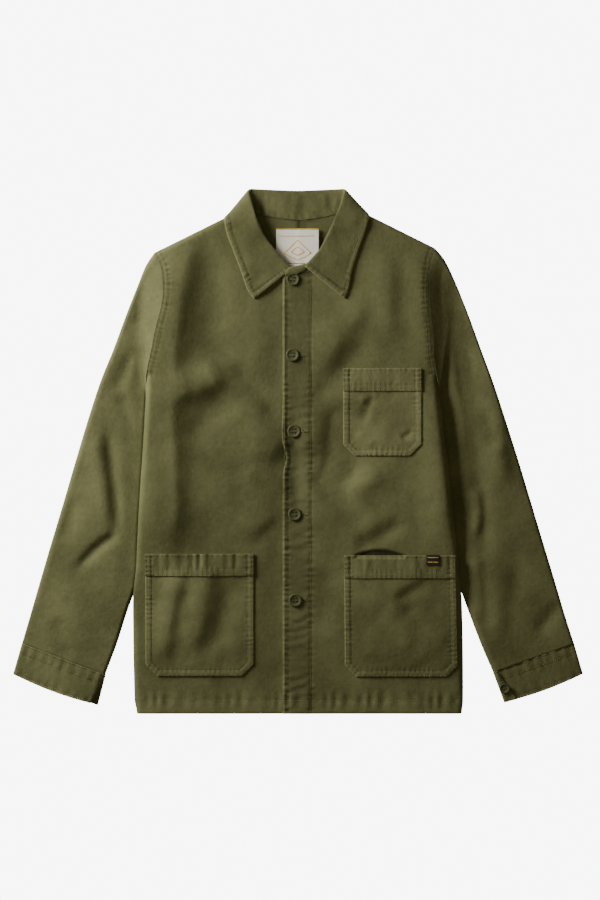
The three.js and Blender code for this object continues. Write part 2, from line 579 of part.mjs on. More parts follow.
// The collar, in sections round the neck: at is 0 at the collar's end, 1 at the shoulder seam and 2 at the
// centre back. Each section goes from the neck seam up the stand, over the fold (tip) and down the fall to its
// outer edge. turn is the way from stand to fall: 0 is up, 90 is out to the side and 180 is down.
const collarRows = [
  { at: 0, tipL: [-9.5, 271.5], edgeL: [-66, 231], tipR: [11, 275], edgeR: [74.3, 231], tipZ: 0, edgeZ: 0, turn: 0 },
  { at: 0.155, tipL: [-20, 284], edgeL: [-75.5, 243], tipR: [21.5, 286], edgeR: [77.5, 247], tipZ: 0, edgeZ: 0, turn: 0 },
  { at: 0.316, tipL: [-34, 300], edgeL: [-83.5, 266], tipR: [33, 300], edgeR: [81.5, 269], tipZ: 0, edgeZ: 0, turn: 0 },
  { at: 0.488, tipL: [-48, 318], edgeL: [-95, 297], tipR: [43, 319], edgeR: [90, 296], tipZ: 0, edgeZ: 0, turn: 0 },
  { at: 0.666, tipL: [-57.5, 337], edgeL: [-105, 323], tipR: [53, 340], edgeR: [99, 321], tipZ: 15.5, edgeZ: 0, turn: 0 },
  { at: 0.824, tipL: [-65, 357], edgeL: [-110.5, 340], tipR: [61, 359], edgeR: [105, 341], tipZ: 14.5, edgeZ: 15, turn: 15 },
  { at: 0.933, tipL: [-70, 376], edgeL: [-112, 348.8], tipR: [67, 376], edgeR: [107, 351], tipZ: 11.5, edgeZ: 11, turn: 50 },
  { at: 1, tipL: [-72.5, 388], edgeL: [-107.5, 354], tipR: [71, 388], edgeR: [103, 358], tipZ: 8, edgeZ: 5, turn: 90 },
  { at: 1.035, tipL: [-70, 391], edgeL: [-104, 353], tipR: [69, 391], edgeR: [100, 356.5], tipZ: 5.5, edgeZ: 1.6, turn: 120 },
  { at: 1.07, tipL: [-66, 391.7], edgeL: [-98, 346], tipR: [66, 391.7], edgeR: [96, 348], tipZ: 3.4, edgeZ: 1.1, turn: 150 },
  { at: 1.22, tipL: [-52, 391], edgeL: [-76, 340], tipR: [52, 391], edgeR: [76, 341], tipZ: 2.3, edgeZ: 1.02, turn: 180 },
  { at: 1.52, tipL: [-30, 389.8], edgeL: [-45, 336], tipR: [30, 389.8], edgeR: [47, 336], tipZ: 2.3, edgeZ: 1.02, turn: 180 },
  { at: 2, tipL: [1, 388.7], edgeL: [1, 335], tipR: [1, 388.7], edgeR: [1, 335], tipZ: 2.3, edgeZ: 1.02, turn: 180 },
];
const collarFoldRadius = 1.6;
const collarNeckGap = 0.5;
const overFront = collarThick / 2 + 1.1; // the fall's middle above a front's outer face

// A place along a run of straight lines, at a share of its length
function walk(points, share) {
  const steps = points.slice(1).map((p, i) => p.distanceTo(points[i]));
  let left = share * steps.reduce((a, b) => a + b, 0);
  for (let i = 0; i < steps.length; i++) {
    if (left <= steps[i] || i === steps.length - 1) return points[i].clone().lerp(points[i + 1], clamp01(left / steps[i]));
    left -= steps[i];
  }
}

// Neck edge of a side: the front's from the collar's end to the shoulder, then the back's to the centre
function neckSeam(side, at) {
  const lastOf = (row) => row[row.length - 1];
  const { grid } = fronts[side];
  const frontNeck = grid.slice(bodySteps + frontCorner).map(lastOf);
  if (at <= 1) {
    const length = frontNeck.slice(1).reduce((sum, p, i) => sum + p.distanceTo(frontNeck[i]), 0);
    const startShare = Math.abs(frontNeck[0].x - (side === "left" ? -17 : 17)) / length;
    return walk(frontNeck, mix(startShare, 1, at));
  }
  const backNeck = backs[side].grid.slice(bodySteps + backCorner).map(lastOf).reverse();
  return walk(backNeck, at - 1);
}

function collarSection(row, side) {
  const tip = side === "left" ? row.tipL : row.tipR;
  const edge = side === "left" ? row.edgeL : row.edgeR;
  const seam = neckSeam(side, row.at);
  const inNeck = v3(tip[0] - seam.x, tip[1] - seam.y, 0).setLength(collarNeckGap + (Math.abs(row.at - 1) < 0.08 ? 0.9 : 0));
  seam.add(inNeck);
  const tipZ = row.tipZ || seam.z + collarFoldRadius + 0.4;
  const faceOver = (x, y) => (faceHeight(side, x, y) ?? 0) + overFront;
  const end = v3(edge[0], edge[1], row.edgeZ || faceOver(edge[0], edge[1]));
  const fold = v3(tip[0], tip[1], tipZ);
  const u = fold.clone().sub(end).normalize();
  const turn = (row.turn * Math.PI) / 180;
  const out = v3((side === "left" ? -1 : 1) * Math.sin(turn), 0, Math.cos(turn));
  out.addScaledVector(u, -out.dot(u)).normalize();
  const radius = mix(collarFoldRadius, 1.15, ease(90, 180, row.turn));
  const centre = fold.clone().addScaledVector(u, -radius);
  const path = [seam, seam.clone().lerp(centre.clone().addScaledVector(out, -radius), 0.5)];
  for (const angle of [-90, -45, 0, 45, 90]) {
    const a = (angle * Math.PI) / 180;
    path.push(centre.clone().addScaledVector(u, radius * Math.cos(a)).addScaledVector(out, radius * Math.sin(a)));
  }
  const start = path[path.length - 1];
  for (const share of [0.33, 0.67]) {
    const p = start.clone().lerp(end, share);
    if (row.turn < 30) p.z = Math.max(p.z, faceOver(p.x, p.y));
    path.push(p);
  }
  path.push(end);
  return path;
}

const collarGrid = [
  ...collarRows.map((row) => collarSection(row, "left")),
  ...collarRows.slice(0, -1).reverse().map((row) => collarSection(row, "right")),
];
const collarNormals = gridNormals(collarGrid, false);
addPiece("collar", wallGeometry(collarGrid, collarNormals, -collarThick / 2, collarThick / 2, { thinStart: 0.6 }), olive.cloth);

// Cuffs: a strip round the wrist from the seam to its edge. The wearer's right cuff ends in a tongue below,
// past its inner fold, and the wearer's left cuff is lapped back over its inner fold and buttoned.
const cuffThick = 1.4;
const cuffRows = {
  left: { seamOuter: [-412.5, -288], seamInner: [-292.5, -333], edgeOuter: [-425, -331], edgeInner: [-314, -377] },
  right: { seamOuter: [414, -288], seamInner: [293.5, -331], edgeOuter: [427, -331], edgeInner: [311, -374.5] },
};
const cuffTop = 7.6; // middle of the upper layer
const cuffLow = 0.72;

function cuffSheet(side) {
  const { seamOuter, seamInner, edgeOuter, edgeInner } = cuffRows[side];
  const ends = (a, b) => v3(b[0] - a[0], b[1] - a[1], 0);
  const down = ends(seamOuter, edgeOuter).setLength(0.75);
  const grid = [0, 0.5, 1].map((share) => {
    const outer = v3(...seamOuter, 0).add(down).lerp(v3(...edgeOuter, 0), share);
    const inner = v3(...seamInner, 0).add(down).lerp(v3(...edgeInner, 0), share);
    const width = outer.distanceTo(inner);
    const across = inner.clone().sub(outer).normalize();
    const top = cuffTop - 0.5 * share;
    const at = (d, z) => outer.clone().addScaledVector(across, d).setZ(z);
    const outerFold = [at(1.2, mix(cuffLow, top, 0.14)), at(0, mix(cuffLow, top, 0.45)), at(1.2, mix(cuffLow, top, 0.8))];
    const below = [at(width * 0.66, cuffLow), at(width * 0.33, cuffLow), at(5, cuffLow)];
    const over = [at(5, top), at(width * 0.25, top + 0.4), at(width * 0.5, top + 0.5), at(width * 0.75, top + 0.3)];
    if (side === "left") {
      const tongue = [at(width + mix(1, 11, share), cuffLow + 0.5), at(width - 8, cuffLow + 0.1)];
      const innerFold = [at(width - 5, top), at(width - 1.2, top - 1.2), at(width, 4.6), at(width - 1.2, 3.2), at(width - 5, 2.6)];
      return [...tongue, ...below, ...outerFold, ...over, ...innerFold, at(width - 26, 2.5)];
    }
    const lap = mix(4, 19, share);
    const innerFold = [at(width - 5, cuffLow), at(width - 1, 2), at(width, 5), at(width - 1, 8.4), at(width - 3, top + 2.1)];
    const start = [at(width - 4.5, top - 0.1)];
    return [...start, ...over.reverse(), ...outerFold.reverse(), ...below.reverse(), ...innerFold, at(width - lap, top + 2.2)];
  });
  return grid;
}

for (const side of ["left", "right"]) {
  const grid = cuffSheet(side);
  const normals = gridNormals(grid, false);
  const along = v3(grid[2][3].x - grid[0][3].x, grid[2][3].y - grid[0][3].y, 0).normalize();
  for (const row of [0, 2]) for (const n of normals[row]) n.addScaledVector(along, -n.dot(along)).normalize();
  addPiece(`cuff_${wearerSide[side]}`, wallGeometry(grid, normals, -cuffThick / 2, cuffThick / 2), olive.cloth);
}

// Patch pockets and what lies on them: shells moved out from a front's own facets, cut to their outline
const pocketThick = 1.2;
const pocketGap = 0.3;
const pocketLevel = half + pocketGap;
const bandLevel = pocketLevel + pocketThick + pocketGap;
const flagLevel = bandLevel + bandThick + pocketGap;
const pockets = [
  {
    name: "lower_right", side: "left",
    outline: [[-227.3, -155], [-65.3, -153.8], [-65.3, -321], [-82, -337.4], [-209, -337.4], [-227.3, -319]],
    band: [[-227.5, -154.8], [-65.1, -153.6], [-65.1, -186.5], [-227.5, -187.5]],
  },
  {
    name: "lower_left", side: "right",
    outline: [[69.7, -156.8], [236.5, -156.8], [239.5, -320], [222, -338.3], [88, -338.3], [71, -322]],
    band: [[69.5, -156.6], [236.7, -156.6], [237.2, -190.5], [69.5, -190.5]],
  },
  {
    name: "chest", side: "right",
    outline: [[68.7, 123], [185.3, 123], [185.3, 10], [168, -7.5], [87, -7.5], [68.7, 8]],
    band: [[68.5, 123.2], [185.5, 123.2], [185.5, 89.4], [68.5, 89.4]],
  },
];

function prismOf(outline) {
  const shape = new wasm.CrossSection([outline], "NonZero");
  return shape.extrude(40);
}

function shellOn(side, from, to, outline) {
  const { grid, normals } = fronts[side];
  const shell = solidOf(wallGeometry(grid, normals, from * outward[side], to * outward[side]));
  return shell.intersect(prismOf(outline));
}

const outward = { left: 1, right: 1 };
for (const pocket of pockets) {
  const { side } = pocket;
  addPiece(`pocket_${pocket.name}`, geometryOf(shellOn(side, pocketLevel, pocketLevel + pocketThick, pocket.outline)), olive.cloth);
  addPiece(`band_${pocket.name}`, geometryOf(shellOn(side, bandLevel, bandLevel + bandThick, pocket.band)), olive.cloth);
}
const flagOutline = [[192.3, -155.3], [212.4, -155.3], [212.4, -171.2], [192.3, -171.2]];
const flag = shellOn("right", flagLevel, flagLevel + labelThick, flagOutline);
addPiece("flag_label", geometryOf(flag), 0x1a1a1a);

// Neck label: a thin plate on the inside of the back, below the neck seam
const label = { left: -32, right: 32, top: 333, bottom: 269, clear: 0.7 };
const labelGrid = [];
for (let i = 0; i <= 4; i++) {
  const y = mix(label.bottom, label.top, i / 4);
  const row = [label.left, 0, label.right].map((x) => v3(x, y, lowerHeight("left", 0, y) + half + label.clear + labelThick / 2));
  labelGrid.push(row);
}
addPiece("neck_label", wallGeometry(labelGrid, gridNormals(labelGrid, false), -labelThick / 2, labelThick / 2), 0xf0e9c4, 0.6);

// Buttons: a turned disc with a rim and four holes, set level on the cloth below it
function buttonGeometry(radius) {
  const profile = [
    [0, 0], [radius * 0.62, 0], [radius, buttonHeight * 0.42], [radius, buttonHeight * 0.75],
    [radius * 0.86, buttonHeight], [radius * 0.7, buttonHeight * 0.82], [0, buttonHeight * 0.72],
  ];
  const lathe = new THREE.LatheGeometry(profile.map(([r, z]) => new THREE.Vector2(r, z)), 18);
  lathe.rotateX(Math.PI / 2);
  let solid = solidOf(facingOut(lathe));
  const hole = wasm.Manifold.cylinder(buttonHeight * 2, radius * 0.1, radius * 0.1, 6);
  for (const [x, y] of [[1, 1], [-1, 1], [-1, -1], [1, -1]]) {
    solid = solid.subtract(hole.translate([x * radius * 0.17, y * radius * 0.17, -1]));
  }
  return geometryOf(solid);
}

function addButton(name, radius, x, y, height, lift, r = radius * 0.8) {
  const slopeX = (height(x + r, y) - height(x - r, y)) / (2 * r);
  const slopeY = (height(x, y) - height(x, y - r)) / r;
  const button = addPiece(name, buttonGeometry(radius), olive.button, 0.45);
  const normal = v3(-slopeX, -slopeY, 1).normalize();
  button.quaternion.setFromUnitVectors(v3(0, 0, 1), normal);
  button.position.set(x, y, height(x, y) + lift);
}

frontButtonYs.forEach((y, i) => {
  addButton(`button_${i + 1}`, buttonRadius, frontButtonX, y, (a, b) => faceHeight("right", a, b), 0.6);
});

// On the lap of the wearer's left cuff
const cuffMesh = new THREE.Mesh(jacket.getObjectByName("cuff_left").geometry);
const cuffHeight = (x, y) => {
  ray.set(v3(x, y, 100), v3(0, 0, -1));
  return ray.intersectObject(cuffMesh)[0].point.z;
};
addButton("cuff_button_left", cuffButtonRadius, 310, -355.6, cuffHeight, 0.35, 2);

export default jacket;
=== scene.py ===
# Chore jacket laid flat on its back: fine cloth, stitching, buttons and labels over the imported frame.
# The tables are in millimetres. +X is the wearer's left, +Y points to the collar, +Z is up.
import json
import math
import bmesh
import bpy
import numpy as np
from mathutils import Matrix, Vector, noise
from mathutils.bvhtree import BVHTree

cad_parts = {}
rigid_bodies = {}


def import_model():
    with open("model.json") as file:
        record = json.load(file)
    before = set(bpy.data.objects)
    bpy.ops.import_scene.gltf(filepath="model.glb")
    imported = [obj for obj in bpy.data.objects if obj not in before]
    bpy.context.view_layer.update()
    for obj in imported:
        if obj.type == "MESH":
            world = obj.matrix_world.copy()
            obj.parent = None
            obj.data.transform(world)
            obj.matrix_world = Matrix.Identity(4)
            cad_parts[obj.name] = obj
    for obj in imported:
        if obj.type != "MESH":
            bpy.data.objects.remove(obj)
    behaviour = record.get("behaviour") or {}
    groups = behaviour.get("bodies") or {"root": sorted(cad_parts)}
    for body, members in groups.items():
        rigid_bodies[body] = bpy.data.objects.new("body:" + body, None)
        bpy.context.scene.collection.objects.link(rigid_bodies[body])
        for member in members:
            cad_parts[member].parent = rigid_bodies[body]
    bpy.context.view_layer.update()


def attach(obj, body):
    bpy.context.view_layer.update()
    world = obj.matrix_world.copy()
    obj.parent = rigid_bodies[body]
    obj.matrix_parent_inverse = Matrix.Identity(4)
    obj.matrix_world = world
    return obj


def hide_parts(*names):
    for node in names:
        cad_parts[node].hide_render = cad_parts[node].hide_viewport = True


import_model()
print("stage: frame loaded")

mm = 0.001


# Colours and materials
def linear(hexColour, alpha=1.0):
    channels = [int(hexColour[i:i + 2], 16) / 255 for i in (1, 3, 5)]
    return [c / 12.92 if c <= 0.04045 else ((c + 0.055) / 1.055) ** 2.4 for c in channels] + [alpha]


def addNode(tree, kind, settings=None, links=None):
    node = tree.nodes.new(kind)
    for name, value in (settings or {}).items():
        if isinstance(name, int) or name in node.inputs:
            node.inputs[name].default_value = value
        else:
            setattr(node, name, value)
    for name, socket in (links or {}).items():
        tree.links.new(socket, node.inputs[name])
    return node


def newMaterial(name):
    material = bpy.data.materials.new(name)
    material.use_nodes = True
    tree = material.node_tree
    shader = tree.nodes["Principled BSDF"]
    place = addNode(tree, "ShaderNodeTexCoord").outputs["Object"]
    return material, tree, shader, place


def noiseNode(tree, place, size, detail=3.0, stretch=None):
    if stretch:
        place = addNode(tree, "ShaderNodeMapping", {"Scale": stretch}, {"Vector": place}).outputs[0]
    node = addNode(tree, "ShaderNodeTexNoise",
                   {"Scale": 1 / (size * mm), "Detail": detail, "Roughness": 0.55}, {"Vector": place})
    return node.outputs["Fac"]


# Washed cotton moleskin: brushed face, small crinkles, slightly uneven dye
def clothMaterial(name, dark, light, crinkle):
    material, tree, shader, place = newMaterial(name)
    broad = noiseNode(tree, place, 70, 4)
    small = noiseNode(tree, place, 7, 5)
    fuzz = noiseNode(tree, place, 1.1, 2)
    both = addNode(tree, "ShaderNodeMath", {"operation": "MULTIPLY_ADD", 1: 0.45},
                   {0: small, 2: broad}).outputs[0]
    mixed = addNode(tree, "ShaderNodeMath", {"operation": "MULTIPLY_ADD", 1: 0.5},
                    {0: fuzz, 2: both}).outputs[0]
    ramp = addNode(tree, "ShaderNodeMapRange", {"From Min": 0.76, "From Max": 1.19},
                   {"Value": mixed}).outputs[0]
    colour = addNode(tree, "ShaderNodeMix", {"data_type": "RGBA", 6: linear(dark), 7: linear(light)},
                     {0: ramp})
    # The tone attribute lightens the cloth towards pale olive for wear and painted highlight, and darkens it
    # towards near-black for painted shade
    tone = addNode(tree, "ShaderNodeAttribute", {"attribute_name": "tone"}).outputs["Fac"]
    wearAndPaintedLight = addNode(tree, "ShaderNodeMix", {"data_type": "RGBA", 7: linear("#98966b")},
                   {0: tone, 6: colour.outputs[2]})
    shadeAmount = addNode(tree, "ShaderNodeMath", {"operation": "MULTIPLY", 1: -1.0}, {0: tone}).outputs[0]
    shaded = addNode(tree, "ShaderNodeMix", {"data_type": "RGBA", 7: linear("#1f1e10")},
                     {0: shadeAmount, 6: wearAndPaintedLight.outputs[2]})
    tree.links.new(shaded.outputs[2], shader.inputs["Base Color"])
    twillPlace = addNode(tree, "ShaderNodeMapping", {"Rotation": (0, 0, 0.9)}, {"Vector": place}).outputs[0]
    twill = addNode(tree, "ShaderNodeTexWave",
                    {"Scale": 1 / (0.9 * mm) / 6.283, "Distortion": 1.2, "Detail": 1.0},
                    {"Vector": twillPlace}).outputs["Fac"]
    crinkles = noiseNode(tree, place, 5.5, 4)
    soft = addNode(tree, "ShaderNodeBump", {"Strength": crinkle, "Distance": 1.1 * mm},
                   {"Height": crinkles}).outputs[0]
    weave = addNode(tree, "ShaderNodeBump", {"Strength": 0.25, "Distance": 0.12 * mm},
                    {"Height": twill, "Normal": soft}).outputs[0]
    nap = addNode(tree, "ShaderNodeBump", {"Strength": 0.35, "Distance": 0.25 * mm},
                  {"Height": fuzz, "Normal": weave}).outputs[0]
    tree.links.new(nap, shader.inputs["Normal"])
    rough = addNode(tree, "ShaderNodeMapRange", {"To Min": 0.78, "To Max": 0.95},
                    {"Value": small}).outputs[0]
    tree.links.new(rough, shader.inputs["Roughness"])
    shader.inputs["Specular IOR Level"].default_value = 0.22
    shader.inputs["Sheen Weight"].default_value = 0.1
    shader.inputs["Sheen Roughness"].default_value = 0.5
    shader.inputs["Sheen Tint"].default_value = linear("#b4b48e")
    return material


cloth = clothMaterial("olive moleskin", "#5c5d3b", "#74754f", 0.45)
clothInside = clothMaterial("olive moleskin, reverse", "#5a5b3b", "#6a6b47", 0.3)

# Sewing thread in the colour of the cloth
thread, tree, shader, place = newMaterial("olive sewing thread")
twist = addNode(tree, "ShaderNodeTexWave", {"Scale": 300.0, "bands_direction": "DIAGONAL"},
                {"Vector": place}).outputs["Fac"]
colour = addNode(tree, "ShaderNodeMix", {"data_type": "RGBA", 6: linear("#6a683f"), 7: linear("#8a885c")},
                 {0: twist})
tree.links.new(colour.outputs[2], shader.inputs["Base Color"])
shader.inputs["Roughness"].default_value = 0.6

# Moulded buttons with a faint horn-like grain
horn, tree, shader, place = newMaterial("olive button plastic")
grain = noiseNode(tree, place, 4, 4, (1.0, 3.0, 1.0))
colour = addNode(tree, "ShaderNodeMix", {"data_type": "RGBA", 6: linear("#434528"), 7: linear("#5f613f")},
                 {0: grain})
tree.links.new(colour.outputs[2], shader.inputs["Base Color"])
shader.inputs["Roughness"].default_value = 0.58
shader.inputs["Specular IOR Level"].default_value = 0.3
scratches = noiseNode(tree, place, 0.8, 2)
bump = addNode(tree, "ShaderNodeBump", {"Strength": 0.15, "Distance": 0.1 * mm}, {"Height": scratches})
tree.links.new(bump.outputs[0], shader.inputs["Normal"])


# Woven labels: fine ribs across, a little uneven
def wovenMaterial(name, dark, light, ribs):
    material, tree, shader, place = newMaterial(name)
    wave = addNode(tree, "ShaderNodeTexWave", {"Scale": 1 / (ribs * mm) / 6.283, "bands_direction": "Y"},
                   {"Vector": place}).outputs["Fac"]
    patch = noiseNode(tree, place, 6, 3)
    both = addNode(tree, "ShaderNodeMath", {"operation": "MULTIPLY_ADD", 1: 0.4},
                   {0: wave, 2: patch}).outputs[0]
    colour = addNode(tree, "ShaderNodeMix", {"data_type": "RGBA", 6: linear(dark), 7: linear(light)},
                     {0: both})
    tree.links.new(colour.outputs[2], shader.inputs["Base Color"])
    bump = addNode(tree, "ShaderNodeBump", {"Strength": 0.4, "Distance": 0.15 * mm}, {"Height": wave})
    tree.links.new(bump.outputs[0], shader.inputs["Normal"])
    shader.inputs["Roughness"].default_value = 0.7
    return material


labelCloth = wovenMaterial("off-white woven label", "#fbf8ea", "#fffdf4", 0.7)
goldThread = wovenMaterial("gold label thread", "#eab02c", "#ffd65a", 0.5)
flagCloth = wovenMaterial("black woven flag", "#141412", "#24241f", 0.7)


# Shape tools, on arrays in millimetres
def ease(a, b, t):
    s = np.clip((t - a) / (b - a), 0, 1)
    return s * s * (3 - 2 * s)


def mix(a, b, t):
    return a + (b - a) * t


def blend4(a, b, c, d, t):
    return 0.5 * (2 * b + (c - a) * t + (2 * a - 5 * b + 4 * c - d) * t**2 + (3 * b - a - 3 * c + d) * t**3)


# A column of a table at places between its rows, along a curve through the rows
def readTable(rows, key, column, at):
    keys, values = (np.array([row[c] for row in rows], float) for c in (key, column))
    if keys[-1] < keys[0]:
        keys, values = keys[::-1], values[::-1]
    last = len(keys) - 1
    k = np.clip(np.searchsorted(keys, at, side="right") - 1, 0, last - 1)
    t = np.clip((at - keys[k]) / (keys[k + 1] - keys[k]), 0, 1)
    a, b, c, d = (values[np.clip(k + i, 0, last)] for i in (-1, 0, 1, 2))
    return np.clip(blend4(a, b, c, d, t), np.minimum(b, c) - 2, np.maximum(b, c) + 2)


# Control rows made finer along their first direction, through every row
def finer(points, steps):
    points = np.asarray(points, float)
    last = len(points) - 1
    out = []
    for k in range(last):
        a, b, c, d = (points[min(max(k + i, 0), last)] for i in (-1, 0, 1, 2))
        count = steps[k] if hasattr(steps, "__len__") else steps
        out += [blend4(a, b, c, d, i / count) for i in range(count)]
    return np.array(out + [points[last]])


def lengths(line):
    return np.concatenate([[0], np.cumsum(np.linalg.norm(np.diff(line, axis=0), axis=1))])


# Places along a line at shares of its length
def along(line, shares):
    far = lengths(line)
    return np.stack([np.interp(np.asarray(shares) * far[-1], far,
                               line[:, i]) for i in range(line.shape[1])], axis=-1)


def curve(points):
    return finer(points, 16)


# Distance to a line in plan and how far along it the nearest place is
def nearest(x, y, line):
    best = np.full(np.shape(x), 1e9)
    place = np.zeros(np.shape(x))
    far = lengths(line)
    for i in range(len(line) - 1):
        (ax, ay), (bx, by) = line[i][:2], line[i + 1][:2]
        dx, dy = bx - ax, by - ay
        size = dx * dx + dy * dy
        t = np.clip(((x - ax) * dx + (y - ay) * dy) / max(size, 1e-9), 0, 1)
        d = np.hypot(x - ax - dx * t, y - ay - dy * t)
        closer = d < best
        best = np.where(closer, d, best)
        place = np.where(closer, far[i] + t * math.sqrt(size), place)
    return best, place


# Moves a line in plan to its left by a distance
def inset(line, distance):
    line = np.asarray(line, float)[:, :2]
    way = np.gradient(line, axis=0)
    way /= np.linalg.norm(way, axis=1, keepdims=True)
    return line + distance * np.stack([-way[:, 1], way[:, 0]], axis=1)


def noiseAt(x, y, size, seed, stretch=(1.0, 1.0)):
    flatX, flatY = np.ravel(x) / size / stretch[0], np.ravel(y) / size / stretch[1]
    values = [noise.noise(Vector((a, b, seed))) for a, b in zip(flatX, flatY)]
    return np.array(values).reshape(np.shape(x))


def fold(start, bend, end, rise, left, right):
    t = np.linspace(0, 1, 11)[:, None]
    run = (1 - t) ** 2 * np.array(start) + 2 * t * (1 - t) * np.array(bend) + t**2 * np.array(end)
    return {"run": run, "rise": rise, "left": left, "right": right}


def liftOf(folds, x, y):
    total = np.zeros(np.shape(x))
    for f in folds:
        run, reach = f["run"], 2.6 * max(f["left"], f["right"])
        low, high = run.min(axis=0) - reach, run.max(axis=0) + reach
        near = (x > low[0]) & (x < high[0]) & (y > low[1]) & (y < high[1])
        if not near.any():
            continue
        px, py = x[near], y[near]
        best, share, side = np.full(px.shape, 1e9), np.zeros(px.shape), np.ones(px.shape)
        for i in range(10):
            (ax, ay), (bx, by) = run[i], run[i + 1]
            dx, dy = bx - ax, by - ay
            t = np.clip(((px - ax) * dx + (py - ay) * dy) / (dx * dx + dy * dy), 0, 1)
            d = np.hypot(px - ax - dx * t, py - ay - dy * t)
            closer = d < best
            best = np.where(closer, d, best)
            share = np.where(closer, (i + t) / 10, share)
            side = np.where(closer, dx * (py - ay) - dy * (px - ax), side)
        taper = ease(0, 0.28, share) * ease(0, 0.28, 1 - share)
        total[near] += f["rise"] * taper * np.exp(-((best / np.where(side > 0, f["left"],
            f["right"])) ** 2))
    return total


# What sewing does to the cloth: its height along and across each row of stitches, and its tone, which is
# lighter on the pucker ridges from wear and painted highlight, and darker in the pucker hollows and stitch dents
# from painted shade
def sewn(x, y, seams):
    rise, tone = np.zeros(np.shape(x)), np.zeros(np.shape(x))
    for seam in seams:
        d, s = nearest(x, y, seam["line"])
        beat = noiseAt(s, np.full(np.shape(s), seam.get("seed", 0.0)), seam["period"] * 2.2, 3.7)
        wave = np.sin(2 * math.pi * s / seam["period"] + 4.0 * beat) * (0.75 + 0.9 * beat)
        around = np.exp(-((d / seam["reach"]) ** 2))
        row = np.exp(-((d / 1.1) ** 2))
        rise += seam["pucker"] * wave * around - seam["dent"] * row
        tone += seam.get("wearAndPaintedLight", 0.3) * wave * around - seam.get("dark", 0.45) * row
    return rise, tone


# A turned edge: rounded down at its rim, thicker up to its stitches, lighter at its rim from wear and painted
# highlight, and a little lighter up to its stitches
def turned(d, width, rise=0.5, wearAndPaintedLight=0.4):
    height = rise * (1 - ease(width - 0.8, width + 0.8, d)) - 0.7 * (1 - ease(0, 1.6, d))
    return height, wearAndPaintedLight * np.exp(-(((d - 0.6) / 1.5) ** 2)) + 0.12 * (1 - ease(width - 1, width + 1, d))


# A sheet of cloth from rows of points: a fine grid moved into place, then given its thickness
def sheetObject(name, points, thickness, material, ring=False, rim=0.25, tone=None):
    rows, columns = points.shape[:2]
    if ring:
        points = np.concatenate([points, points[:, :1]], axis=1)
        tone = None if tone is None else np.concatenate([tone, tone[:, :1]], axis=1)
        columns += 1
    shape = bmesh.new()
    bmesh.ops.create_grid(shape, x_segments=columns - 1, y_segments=rows - 1, size=0.5)
    mesh = bpy.data.meshes.new(name)
    shape.to_mesh(mesh)
    shape.free()
    mesh.vertices.foreach_set("co", (points.reshape(-1, 3) * mm).astype(np.float32).ravel())
    if tone is not None:
        shade = mesh.attributes.new("tone", "FLOAT", "POINT")
        shade.data.foreach_set("value", np.clip(tone, -0.85, 0.85).astype(np.float32).ravel())
    if ring:
        shape = bmesh.new()
        shape.from_mesh(mesh)
        bmesh.ops.remove_doubles(shape, verts=shape.verts, dist=1e-6)
        shape.to_mesh(mesh)
        shape.free()
    mesh.materials.append(material)
    mesh.shade_smooth()
    piece = bpy.data.objects.new(name, mesh)
    bpy.context.scene.collection.objects.link(piece)
    wall = piece.modifiers.new("thickness", "SOLIDIFY")
    wall.thickness = thickness * mm
    wall.offset = 0
    wall.use_even_offset = False
    if rim:
        edge = piece.modifiers.new("soft edge", "BEVEL")
        edge.width = rim * mm
        edge.segments = 2
        edge.limit_method = "ANGLE"
        edge.angle_limit = math.radians(60)
    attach(piece, "root")
    return piece


def treeOf(*pieces):
    depsgraph = bpy.context.evaluated_depsgraph_get()
    points, faces = [], []
    for piece in pieces:
        evaluated = piece.evaluated_get(depsgraph)
        mesh = evaluated.to_mesh()
        start = len(points)
        points += [v.co.copy() for v in mesh.vertices]
        faces += [[start + i for i in p.vertices] for p in mesh.polygons]
        evaluated.to_mesh_clear()
    return BVHTree.FromPolygons(points, faces)


# Height of the topmost cloth at a place, in millimetres, and its normal
def topAt(tree, x, y):
    hit, normal, _, _ = tree.ray_cast(Vector((x * mm, y * mm, 0.2)), Vector((0, 0, -1)))
    return (hit.z / mm, normal) if hit else (0.0, Vector((0, 0, 1)))


# The body's outline and the cloth's height, as the frame has them
hemY, armpitY, backSeamX = -394, 113, 3
clothThick = 1.2
backMid = clothThick / 2
overlapEdgeX, underlapEdgeX, underlapDrop = -22, 17, 2.2

sideRows = [
    {"y": -392.5, "left": -240.5, "right": 246},
    {"y": -375, "left": -244, "right": 248},
    {"y": -280, "left": -246, "right": 247.5},
    {"y": -220, "left": -245.5, "right": 245.5},
    {"y": -176, "left": -241, "right": 241},
    {"y": -74, "left": -236, "right": 231.5},
    {"y": 55, "left": -228, "right": 217.5},
    {"y": 113, "left": -226, "right": 209},
]
armholes = {
    "left": [(-226, 113), (-218, 148), (-211, 182), (-203, 214), (-199.5, 242), (-203, 274), (-214, 296.5)],
    "right": [(209, 113), (203.5, 145), (200.5, 186), (196, 226), (196.5, 258), (200, 282), (205.5, 303.5)],
}
frontNecks = {
    "left": [(17, 264), (-17, 267), (-36, 274), (-55, 289), (-69, 309), (-78, 333), (-82, 362)],
    "right": [(-22, 262), (17, 267), (36, 274), (55, 289), (69, 309), (78, 333), (83, 364.5)],
}
loftRows = [
    {"y": -392.5, "loft": 7.8},
    {"y": -350, "loft": 9.5},
    {"y": -280, "loft": 12},
    {"y": -100, "loft": 13.5},
    {"y": 150, "loft": 13.5},
    {"y": 280, "loft": 12},
    {"y": 365, "loft": 11},
]

